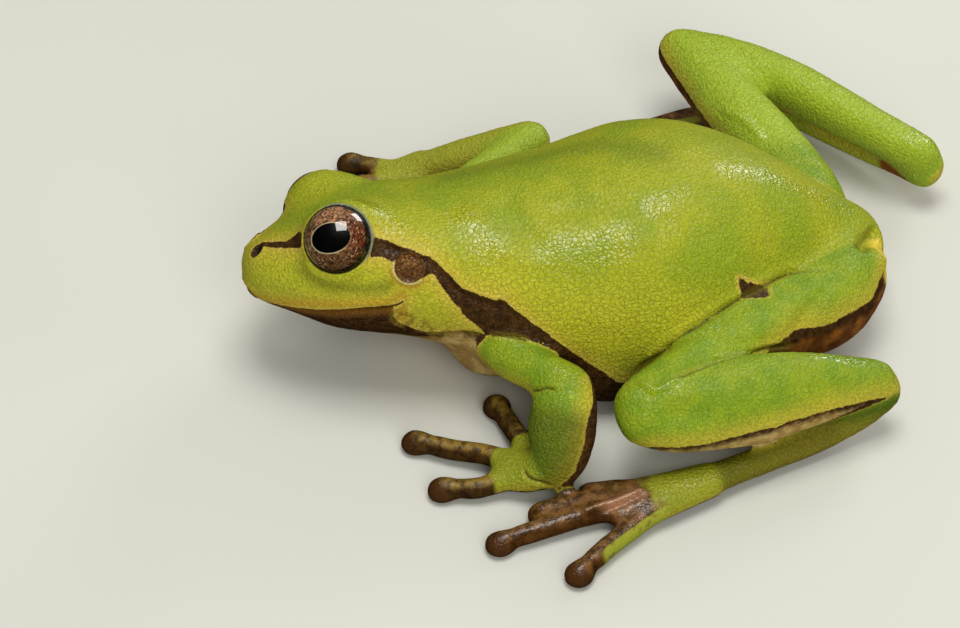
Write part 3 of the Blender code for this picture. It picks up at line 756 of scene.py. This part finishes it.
# How far below the lip and stripe the brown goes over into the pale underside, by the distance back.
BAND = (
    (0, 2.2), (7, 2.2), (9, 1), (12, 0.15), (14.3, 0.3), (17, 1.2), (20, 4), (26, 4), (30, 0.6),
    (42, 0.6),
)
pale_body = -lip_d - np.interp(place[:, 0], *zip(*BAND))

# For each length of limb: the nodes that it lies between, which way its green side faces, how many degrees
# round the green reaches (from end to end, or read along ROUND), and how wide the brown band is beyond it.
ROUND = (-0.5, 0, 0.3, 0.6, 0.85, 1.1)
LIMBS = {
    "upper_arm_left": ("trunk", "forearm_left", (0.15, -0.1, 0.98), (104, 112), 0.3),
    "forearm_left": ("upper_arm_left", "hand_left", (0.25, -0.67, 0.7), (118, 96, 86, 88, 91, 95), 2.2),
    "upper_arm_right": ("trunk", "forearm_right", (-0.15, -0.1, 0.98), (100, 110), 0.3),
    "forearm_right": ("upper_arm_right", "hand_right", (-0.25, -0.5, 0.8), (100, 100), 1.1),
    "thigh_left": ("trunk", "shank_left", (-0.62, -0.33, 0.7), (112, 104), 0.6),
    "shank_left": ("thigh_left", "tarsus_left", (-0.1, 0, 0.98), (150, 100), 0.22),
    "tarsus_left": ("shank_left", "foot_left", (0.1, 0.3, 0.95), (140, 118), 0.6),
    "thigh_right": ("trunk", "shank_right", (0, 0, 1), (95, 92), 0.15),
    "shank_right": ("thigh_right", "tarsus_right", (0.1, 0, 1), (140, 175), 0.9),
    "tarsus_right": ("shank_right", "foot_right", (0.5, -0.3, 0.8), (178, 150), 0.9),
}
EDGED = {"shank_left": SHANK_EDGE, "thigh_left": THIGH_EDGE}
green = green_body.copy()
pale = pale_body.copy()
warm, dim = everywhere(0.0), everywhere(0.0)
for name, (before, after, facing, reach, band) in LIMBS.items():
    here = on(name)
    a, b = meeting(name, before), meeting(name, after)
    axis = unit(b - a)
    rel = skin.points[here] - a
    off = rel - (rel @ axis)[:, None] * axis
    toward = unit(np.array(facing) - np.dot(facing, axis) * axis)
    r = np.maximum(np.linalg.norm(off, axis=1), 0.3)
    angle = np.arccos(np.clip(off @ toward / r, -1, 1))
    gone = (rel @ axis) / np.linalg.norm(b - a)
    steps = ROUND if len(reach) > 2 else (0, 1)
    green[here] = r * (np.radians(np.interp(gone, steps, reach)) - angle)
    if name in EDGED:
        edge = EDGED[name]
        over = place[here, 2] - np.interp(place[here, 0], *zip(*edge))
        green[here] = np.where(place[here, 0] > edge[0][0], over, green[here])
    pale[here] = -green[here] - band
    if "thigh" in name:
        warm[here] = 1
    # Painted shadow: the left forearm grows darker past its elbow.
    if name == "forearm_left":
        dim[here] = smooth(gone, 0.1, 0.42)
# Painted shadow on the rear of the left tarsus, under the shank.
dim = np.maximum(dim, 0.95 * on("tarsus_left") * smooth(place[:, 0], 25, 28.5))
digit, outer_toe = everywhere(0.0), everywhere(0.0)
# From the wrist or ankle to where the brown of the digits starts, and how softly it does.
DIGIT_START = {"hand": ("forearm", 3.2, 0.5), "foot": ("tarsus", 4.5, 1.3)}
TOE_SIDE = 0.38  # the green of the outer toe lies off its middle, outward
normal_z = skin.normals()[:, 2]
# How much the skin faces up; the digits' gold streaks follow it, in part as a painted highlight.
crown = smooth(normal_z, 0.55, 0.97)
for end, (before, length, ease) in DIGIT_START.items():
    for s in both:
        here = on(end + s)
        start = meeting(end + s, before + s)
        gone = np.linalg.norm(skin.points[here] - start, axis=1)
        digit[here] = smooth(gone, length - ease, length + ease)
        green[here] = 1.4 * (normal_z[here] + 0.35)
        pale[here] = -2
        if end == "foot":
            reach = max(digit_tips(end + s, start), key=lambda p: abs(p[0] - AXIS_X))
            outward = unit(np.cross(reach - start, (0, 0, 1.0)) * np.sign(start[0] - AXIS_X) * -1)
            off = TOE_SIDE * outward
            d, t = skin.near([start + off, reach + off])
            along = smooth(t, 0.15, 0.3) * smooth(t, 0.88, 0.76)
            outer_toe = np.maximum(outer_toe, smooth(d, 1.05, 0.65) * along)
margin = skin.spread(green, 10)
spot_left = outside_by(flat, GROIN_SPOT)
by_groin = (place[:, 1] > 0) & (place[:, 1] < 8.0) & (spot_left < 0.8)
green = np.where(by_groin, np.minimum(green, spot_left), green)
green = skin.spread(np.clip(green, -0.7, 0.7), 3)
green = np.where(abs(green) > 0.5, margin, green)
pale = skin.spread(pale, 10)
warm = skin.spread(warm, 10)
digit = skin.spread(digit, 4)
limb = patch(~on("head", "trunk"), 40)

gold = bell(np.where(lip_d > 0, lip_d, 5), 0.8) * (place[:, 0] < 9.4) * bodily
low_half = smooth(place[:, 2], EAR[2] + 0.2, EAR[2] - 0.4)
gold = np.maximum(gold, bell(ear - EAR_RADIUS - 0.2, 0.2) * low_half)
ear_rim = bell(ear - EAR_RADIUS - 0.06, 0.09) * smooth(place[:, 0] + 1.5 * place[:, 2], 9.6, 8.6)
wet = np.maximum(0.8 * bell(tip, 1), 0.55 * digit * patch(feet, 3))
for width, line in WET:
    wet = np.maximum(wet, brush(line, width))
eye_edge = everywhere(FAR)
for side in eye:
    eye_edge = nearer(eye_edge, ball_centre[side], BALL_RADIUS)

# -------- grain, and flat where it meets the floor
GRAINS_PER_MM, GRAIN_HEIGHT = 2.9, 0.028
WAVES_PER_MM, WAVE_HEIGHT = 0.8, 0.03
grain = np.array([noise.voronoi(Vector(p) * GRAINS_PER_MM)[0][0] for p in skin.points])
waves = np.array([noise.noise(Vector(p) * WAVES_PER_MM) for p in skin.points])
rough_skin = (1 - digits) * smooth(eye_edge, 0.1, 0.6)
skin.push(rough_skin * (GRAIN_HEIGHT * (0.35 - grain) + WAVE_HEIGHT * waves))
skin.points[:, 2] = np.maximum(skin.points[:, 2], 0.0)
skin.write()

brown_side = on("hand_left", "foot_left", "tarsus_left") & (place[:, 0] < 36)
fields = dict(
    green_by=green, margin=margin, wet=wet, crown=crown, pale_by=pale, warm=warm, digit=digit, limb=limb,
    gold=gold, ear_by=ear, crease=-valley, fold_by=fold, tip_by=tip,
    foot=patch(feet | on("tarsus_left", "tarsus_right"), 6), lid_by=lid_by, lid_pale=lid_pale,
    lid_fold=lid_fold, olive=patch(brown_side, 30), tan=patch(on("hand_right", "forearm_right"), 12),
    ear_rim=ear_rim, outer_toe=outer_toe, dim=skin.spread(dim, 12), nostril_by=nostril, mouth_by=groove,
    back_mm=place[:, 0], left_mm=place[:, 1], up_mm=place[:, 2],
)
fields.update({name: brush(line, width) for name, (width, line) in MARKS.items()})
write_fields(skin_object, fields)


# -------- materials
# Linear colours, in thousandths. Where a name has a second one with "2", noise goes from one to the other.
# Painted shade: the darker greens by the spine, on the left forearm and tarsus, in the vent's notch and in
# the furrow under the eye, the valley and fold lines, and in part the throat. In part painted highlight:
# the gold on the tops of the digits and the copper on the foot's ridge.
PALETTE = {
    "back": (305, 395, 9), "back2": (410, 445, 11), "low flank": (590, 560, 22), "leg": (205, 345, 8),
    "leg2": (295, 405, 10), "far leg": (390, 530, 30), "margin": (660, 510, 42), "shade": (140, 220, 8),
    "tan": (460, 400, 30), "olive": (370, 290, 20), "vent_shade": (90, 110, 6), "lid_fold": (130, 140, 6),
    "granule": (640, 660, 60), "between": (190, 210, 6), "speckle": (200, 240, 6), "net": (150, 150, 8),
    "dim": (360, 350, 240), "lip": (480, 290, 12), "valley": (170, 150, 6), "gilt": (800, 640, 160),
    "gilt2": (580, 450, 45), "brown": (38, 14, 2), "brown2": (78, 31, 5), "brown speck": (300, 150, 18),
    "under lip": (250, 105, 8), "rust": (140, 42, 3), "rust2": (320, 110, 8), "cream": (400, 240, 60),
    "cream2": (660, 480, 170), "throat": (45, 18, 2), "throat2": (190, 85, 7), "vent": (900, 680, 50),
    "heel": (270, 40, 3), "fleck": (260, 140, 12), "beside fold": (380, 330, 20), "fold": (60, 48, 3),
    "ear": (560, 270, 45), "ear2": (120, 42, 8), "ear blotch": (80, 28, 6), "ear rim": (700, 640, 260),
    "finger": (34, 13, 2), "finger2": (85, 38, 4), "finger streak": (330, 210, 28), "toe": (45, 16, 2),
    "toe2": (115, 43, 6), "toe streak": (360, 180, 60), "copper": (560, 260, 130), "disc": (70, 25, 5),
    "outer toe": (200, 170, 20), "outer toe2": (330, 350, 28), "nostril edge": (60, 24, 4),
    "nostril": (4, 2, 1), "mouth": (50, 18, 3), "lid edge": (240, 270, 160), "lid line": (12, 7, 3),
    "iris": (70, 20, 6), "iris2": (380, 145, 45), "iris top": (640, 330, 170), "iris foot": (115, 60, 18),
    "iris front": (240, 150, 75), "iris rear": (150, 30, 8), "iris dark": (22, 7, 3),
    "iris spark": (820, 520, 290), "vein": (15, 6, 3), "pupil rim": (620, 500, 280),
    "pupil": (1.5, 1.5, 1.5), "iris edge": (8, 5, 3), "floor": (680, 680, 630), "floor2": (710, 710, 660),
}
# The colours that lie over the green, each with a field of its own name: how strong they are. Tan and olive
# are the skin's own colours; the others are painted shade.
SHADES = {"shade": 0.6, "tan": 0.65, "olive": 0.5, "vent_shade": 0.95, "lid_fold": 0.45}


class Graph:
    """Shorthand for a material's nodes."""

    def __init__(self, name):
        self.material = bpy.data.materials.new(name)
        self.material.use_nodes = True
        self.tree = self.material.node_tree
        self.shader = self.tree.nodes["Principled BSDF"]
        self.where = self.tree.nodes.new("ShaderNodeTexCoord").outputs["Object"]

    def put(self, socket, value):
        value = tuple(part / 1000 for part in PALETTE[value]) if isinstance(value, str) else value
        if isinstance(value, bpy.types.NodeSocket):
            self.tree.links.new(value, socket)
        elif isinstance(value, tuple):
            socket.default_value = (*value, 1.0)[: len(socket.default_value)]
        else:
            socket.default_value = value

    def node(self, kind, inputs, **settings):
        """The outputs of a new node, whose inputs are given by name or number."""
        node = self.tree.nodes.new("ShaderNode" + kind)
        for key, value in settings.items():
            setattr(node, key, value)
        for key, value in inputs.items():
            self.put(node.inputs[key], value)
        return node.outputs

    def field(self, name):
        return self.node("Attribute", {}, attribute_name=name)["Fac"]

    def math(self, operation, a, b=0.0):
        return self.node("Math", {0: a, 1: b}, operation=operation)[0]

    def times(self, a, b):
        return self.math("MULTIPLY", a, b)

    def ease(self, x, low, high, start=0.0, end=1.0):
        """From start to end as x goes from low to high. x may be a field's name."""
        x = self.field(x) if isinstance(x, str) else x
        inputs = dict(enumerate((x, low, high, start, end)))
        return self.node("MapRange", inputs, interpolation_type="SMOOTHSTEP")["Result"]

    def noise(self, per_mm, detail=2.0, rough=0.5):
        inputs = {"Vector": self.where, "Scale": per_mm / MM, "Detail": detail, "Roughness": rough}
        return self.node("TexNoise", inputs)["Fac"]

    def frayed(self, field, amount, *noise):
        """A field with noise added to it, so that its edge is uneven."""
        jag = self.math("SUBTRACT", self.noise(*noise), 0.5)
        return self.math("ADD", self.field(field), self.times(jag, amount))

    def warped(self, per_mm, amount_mm):
        """The place on the object, shaken by noise, so that lines drawn there waver."""
        shift = self.node("TexNoise", {"Vector": self.where, "Scale": per_mm / MM})["Color"]
        inputs = {0: shift, 1: (amount_mm * MM,) * 3, 2: self.where}
        return self.node("VectorMath", inputs, operation="MULTIPLY_ADD")["Vector"]

    def cells(self, per_mm, feature="F1", where=None, **inputs):
        inputs = {"Vector": where or self.where, "Scale": per_mm / MM, **inputs}
        return self.node("TexVoronoi", inputs, feature=feature)["Distance"]

    def mix(self, factor, a, b, blend="MIX"):
        return self.node("Mix", {0: factor, 6: a, 7: b}, data_type="RGBA", blend_type=blend)[2]

    def bump(self, height, distance_mm, strength=1.0, **inputs):
        inputs = {"Strength": strength, "Distance": distance_mm * MM, "Height": height, **inputs}
        return self.node("Bump", inputs)["Normal"]

    def vary(self, by, low, high, colour):
        """From the colour to its second shade, as `by` goes from low to high."""
        return self.mix(self.ease(by, low, high), colour, colour + "2")

    def over(self, base, by, low, high, colour, share=1.0):
        """The colour laid over the base as `by` goes from low to high, at most by its share."""
        return self.mix(self.ease(by, low, high, 0.0, share), base, colour)

    def layers(self, base, *layers):
        for layer in layers:
            base = self.over(base, *layer)
        return base

    def tint(self, base, mask, share, colour, blend="MIX"):
        """The colour laid over the base by the mask, which may be a field's name, times the share."""
        mask = self.field(mask) if isinstance(mask, str) else mask
        return self.mix(self.times(mask, share), base, colour, blend)

    def set(self, **values):
        for key, value in values.items():
            self.put(self.shader.inputs[key.replace("_", " ")], value)


def green_skin(g, limb, granules, net, blotch):
    """The yellow-green of the back and legs, with its tints, its painted shade and its grain."""
    green = g.vary(g.noise(0.25), 0.38, 0.62, "back")
    green = g.over(green, "up_mm", 3, -1, "low flank", 0.7)
    leg = g.vary(blotch, 0.35, 0.65, "leg")
    leg = g.over(leg, "left_mm", -6, -8, "far leg")
    green = g.mix(limb, green, leg)
    green = g.over(green, "margin", 1.5, 0.1, "margin", 0.7)
    for name, share in SHADES.items():
        green = g.tint(green, name, share, name)
    green = g.layers(green, (granules, 0.3, 0.05, "granule", 0.26), (granules, 0.45, 0.8, "between", 0.28))
    green = g.over(green, g.noise(5), 0.5, 0.28, "speckle", 0.3)
    flank = g.times(g.ease("up_mm", 4, 0.5), g.ease(limb, 0.6, 0.1, 0, 0.24))
    flank = g.times(flank, g.ease("back_mm", 9, 16, 0.35, 1))
    green = g.tint(green, net, flank, "net")
    # Painted shadow, multiplied over the green of the left forearm and tarsus.
    return g.tint(green, "dim", 0.85, "dim", "MULTIPLY")


def brown_sides(g, colour, limb):
    """The golden lip and fringe, the brown stripe and bands, the underside, and painted shade in the skin's
    valleys and along its folds.
    """
    # The golden lip, then painted shade darkening the skin where it lies in a valley.
    colour = g.layers(colour, ("gold", 0.1, 0.9, "lip", 0.8), ("crease", 0.03, 0.2, "valley", 0.45))
    edge = g.frayed("green_by", g.ease("back_mm", 3.5, 8, 0.16, 0.42), 1.9, 4, 0.65)
    speck = g.cells(6.5)
    fringe = g.times(g.ease(edge, 0.32, 0.08), g.ease(limb, 0.4, 0.8, 0.95, 0.3))
    fringe = g.times(fringe, g.ease("olive", 0.5, 0.1))
    colour = g.mix(fringe, colour, g.vary(speck, 0.05, 0.45, "gilt"))
    brown = g.vary(g.noise(2.4, 3), 0.35, 0.65, "brown")
    brown = g.over(brown, speck, 0.24, 0.1, "brown speck", 0.45)
    brown = g.over(brown, "mouth_by", 0.95, 0.15, "under lip", 0.65)
    colour = g.over(colour, edge, 0.03, -0.05, brown)
    # The throat's brown, made darker as painted shade under the head.
    throat = g.vary(g.noise(1.8, 4, 0.6), 0.36, 0.6, "throat")
    cream = g.over(g.vary(g.noise(0.8, 3), 0.35, 0.7, "cream"), "back_mm", 9.5, 7.5, throat)
    rust = g.vary(g.noise(1.2), 0.35, 0.7, "rust")
    under = g.over(cream, "warm", 0.3, 0.8, rust)
    colour = g.over(colour, g.frayed("pale_by", 0.9, 1.5, 3, 0.6), -0.15, 0.5, under)
    colour = g.over(colour, g.frayed("vent", 0.7, 1.6, 3), 0.3, 0.85, "vent", 0.95)
    colour = g.over(colour, "flush", 0.3, 0.8, "heel", 0.9)
    flecks = g.ease("flecks", 0.2, 0.8, 0, 0.75)
    colour = g.tint(colour, g.ease(g.noise(1.7, 4, 0.65), 0.46, 0.58), flecks, "fleck")
    # Beside each fold a golden edge, and along it a dark line of painted shade.
    fold_edge_and_shade = ("fold_by", 0.42, 0.14, "beside fold", 0.25), ("fold_by", 0.13, 0.02, "fold", 0.85)
    return g.layers(colour, *fold_edge_and_shade)


def ear_disc(g, colour, shaken, blotch):
    disc = g.vary(g.cells(9, where=shaken), 0.2, 0.5, "ear")
    disc = g.over(disc, blotch, 0.42, 0.6, "ear blotch", 0.7)
    colour = g.over(colour, "ear_by", 1, 0.9, disc)
    return g.over(colour, "ear_rim", 0.25, 0.85, "ear rim", 0.85)


def digit_skin(g, colour):
    """Brown fingers and toes with golden streaks along the tops that face up, in part a painted highlight,
    and the green of the outer toes.
    """
    mottle = g.noise(1.5, 4, 0.6)
    # Lighter where the digits face up: their gold, with a painted highlight.
    gold_and_highlight = g.times(g.field("crown"), g.ease(mottle, 0.38, 0.6, 0.12, 1))
    finger = g.tint(g.vary(mottle, 0.35, 0.65, "finger"), gold_and_highlight, 0.75, "finger streak")
    toe = g.tint(g.vary(mottle, 0.35, 0.65, "toe"), gold_and_highlight, 0.4, "toe streak")
    # Copper along the foot's ridge, in part a painted highlight.
    toe = g.tint(toe, "copper", 0.65, "copper")
    toe = g.over(toe, "outer_toe", 0.3, 0.8, g.vary(mottle, 0.3, 0.48, "outer toe"))
    finger = g.layers(finger, ("foot", 0.3, 0.7, toe), ("tip_by", 1.15, 0.7, "disc", 0.9))
    return g.over(colour, g.frayed("digit", 0.9, 1.1, 3), 0.25, 0.75, finger)


def openings(g, colour):
    """The nostrils, the line of the mouth and the edges of the lids."""
    dark = ("nostril_by", 0.58, 0.46, "nostril edge"), ("nostril_by", 0.42, 0.26, "nostril")
    colour = g.layers(colour, *dark, ("mouth_by", 0.1, 0.03, "mouth", 0.9))
    colour = g.tint(colour, g.ease("lid_by", 0.22, 0.12), g.field("lid_pale"), "lid edge")
    return g.over(colour, "lid_by", 0.07, 0.02, "lid line")


def skin_material():
    g = Graph("frog_skin")
    limb = g.ease("limb", 0.25, 0.75)
    blotch = g.noise(0.7, 3)
    shaken = g.warped(2, 0.22)
    granules = g.cells(5, "SMOOTH_F1", shaken, Smoothness=0.35)
    net = g.ease(g.cells(3, "DISTANCE_TO_EDGE", shaken), 0.12, 0.01)
    colour = green_skin(g, limb, granules, net, blotch)
    colour = brown_sides(g, colour, limb)
    colour = ear_disc(g, colour, shaken, blotch)
    colour = digit_skin(g, colour)
    relief = g.math("SUBTRACT", g.ease(granules, 0, 0.75, 1, 0), g.times(net, 0.6))
    relief = g.times(relief, g.ease("digit", 0.2, 0.8, 1, 0.35))
    damp = g.ease(g.frayed("wet", 0.5, 0.9, 4, 0.6), 0.1, 0.95)
    g.set(
        Base_Color=openings(g, colour),
        Roughness=g.ease(damp, 0, 1, 0.46, 0.26),
        Specular_IOR_Level=0.4,
        Normal=g.bump(g.noise(10, 3, 0.6), 0.014, 0.8, Normal=g.bump(relief, 0.052)),
        Coat_Normal=g.bump(relief, 0.024),
        Coat_Weight=g.ease(damp, 0, 1, 0.14, 0.95),
        Coat_Roughness=0.15,
        Coat_IOR=1.55,
        Subsurface_Weight=0.1,
        Subsurface_Scale=0.0005,
        Subsurface_Radius=(1, 0.7, 0.2),
    )
    return g.material


skin_object.data.materials.append(skin_material())
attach(skin_object, "root")
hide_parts(*FLESH)


# -------- eyes
CORNEA_BULGE, CORNEA_ANGLE = 0.03, 48


def make_eye(name, side):
    """An eyeball whose pole is its gaze, with the places on the iris kept as fields."""
    look = gaze(side)
    front = unit(HEAD_FRONT - look * (HEAD_FRONT @ look))
    up = np.cross(look, front) * side
    up = up if up @ HEAD_UP > 0 else -up
    rows, columns = 96, 160
    points, faces, across, above = [], [], [], []
    for i in range(rows + 1):
        polar = math.pi * i / rows
        bulge = 1 + CORNEA_BULGE * math.exp(-((math.degrees(polar) / CORNEA_ANGLE) ** 2))
        for j in range(columns if 0 < i < rows else 1):
            turn = 2 * math.pi * j / columns
            out = math.sin(polar)
            p = look * math.cos(polar) + (front * math.cos(turn) + up * math.sin(turn)) * out
            points.append((ball_centre[side] + p * BALL_RADIUS * bulge) * MM)
            far = BALL_RADIUS * (out if polar < math.pi / 2 else 2 - out)
            across.append(far * math.cos(turn))
            above.append(far * math.sin(turn))
    last = len(points) - 1
    for j in range(columns):
        k = (j + 1) % columns
        faces.append((0, 1 + j, 1 + k))
        faces.append((last, last - columns + k, last - columns + j))
        for i in range(rows - 2):
            a = 1 + i * columns
            faces.append((a + j, a + columns + j, a + columns + k, a + k))
    obj = new_object(name + "ball", points, faces)
    bm = bmesh.new()
    bm.from_mesh(obj.data)
    bmesh.ops.recalc_face_normals(bm, faces=bm.faces)
    write_back(bm, obj.data)
    write_fields(obj, {"across": across, "above": above})
    return obj


def eye_material():
    g = Graph("frog_eye")
    x, y = g.field("across"), g.field("above")

    def oval(wide, tall, ahead=0, rise=0):
        px = g.math("DIVIDE", g.math("SUBTRACT", x, ahead), wide)
        py = g.math("DIVIDE", g.math("SUBTRACT", y, rise), tall)
        return g.math("SQRT", g.math("ADD", g.times(px, px), g.times(py, py)))

    iris = oval(2.04, 2.03, 0.09, 0.06)
    pupil = oval(1.22, 0.9, 0.15, -0.02)
    fibre = g.noise(2.8, 5, 0.75)
    veins = g.ease(g.cells(1.7, "DISTANCE_TO_EDGE", g.warped(1.6, 0.5)), 0.07, 0.015)
    copper = g.layers(
        g.vary(fibre, 0.42, 0.6, "iris"),
        (y, 0.3, 1.4, "iris top", 0.7),
        (y, -0.2, -1.4, "iris foot", 0.75),
        (x, 0.8, 1.7, "iris front", 0.65),
        (x, -0.3, -1.5, "iris rear", 0.75),
        (g.noise(4.6, 5, 0.8), 0.48, 0.56, "iris dark", 0.9),
        (g.noise(6, 4, 0.8), 0.56, 0.64, "iris spark", 0.8),
    )
    copper = g.tint(copper, veins, g.ease(y, 0.2, 0.9, 0.15, 0.9), "vein")
    copper = g.tint(copper, g.ease(pupil, 1.11, 1.05), g.ease(x, -0.9, -0.2, 0.15, 0.85), "pupil rim")
    colour = g.over(copper, pupil, 1.03, 0.99, "pupil")
    colour = g.over(colour, iris, 0.95, 1, "iris edge")
    g.set(
        Base_Color=colour,
        Roughness=0.4,
        Specular_IOR_Level=0.2,
        Normal=g.bump(fibre, 0.03, 0.6),
        Coat_Weight=1,
        Coat_Roughness=0.02,
        Coat_IOR=1.9,
    )
    return g.material


eye_finish = eye_material()
for name, side in EYES.items():
    ball = make_eye(name, side)
    ball.data.materials.append(eye_finish)
    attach(ball, "root")
    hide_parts(name)


# -------- floor and light
FLOOR_HALF = 1.2  # metres
LIGHT_AIM = (0, 0, 5)
SKY_COLOUR, SKY_STRENGTH = (1.0, 0.99, 0.9, 1), 0.3


def make_floor():
    """A pale floor that isn't mirrored in the wet skin, which would turn grey."""
    corners = ((-1, -1), (1, -1), (1, 1), (-1, 1))
    floor = new_object("floor", [(FLOOR_HALF * x, FLOOR_HALF * y, 0) for x, y in corners], [(0, 1, 2, 3)])
    g = Graph("floor")
    g.set(Base_Color=g.vary(g.noise(0.02), 0.3, 0.7, "floor"), Roughness=0.7)
    floor.data.materials.append(g.material)
    floor.visible_glossy = False


def softbox(name, place_mm, size_mm, power, colour, shines=True):
    data = bpy.data.lights.new(name, "AREA")
    data.shape = "RECTANGLE"
    data.size, data.size_y = size_mm[0] * MM, size_mm[1] * MM
    data.energy = power
    data.color = colour
    light = add(name, data)
    light.location = Vector(place_mm) * MM
    way = Vector(LIGHT_AIM) - Vector(place_mm)
    light.rotation_mode = "QUATERNION"
    light.rotation_quaternion = way.to_track_quat("-Z", "Y")
    light.visible_glossy = shines


make_floor()
softbox("key", (0, 10, 330), (180, 180), 0.58, (1.0, 0.99, 0.95))
softbox("side", (420, 60, 300), (300, 300), 1.15, (1.0, 1.0, 0.94), shines=False)
softbox("rim", (-230, 215, 160), (140, 100), 0.26, (1.0, 1.0, 0.97))
world = bpy.data.worlds.new("world")
scene.world = world
world.use_nodes = True
sky = world.node_tree.nodes["Background"]
sky.inputs["Color"].default_value = SKY_COLOUR
sky.inputs["Strength"].default_value = SKY_STRENGTH
world.cycles_visibility.glossy = False
scene.view_settings.view_transform = "Standard"
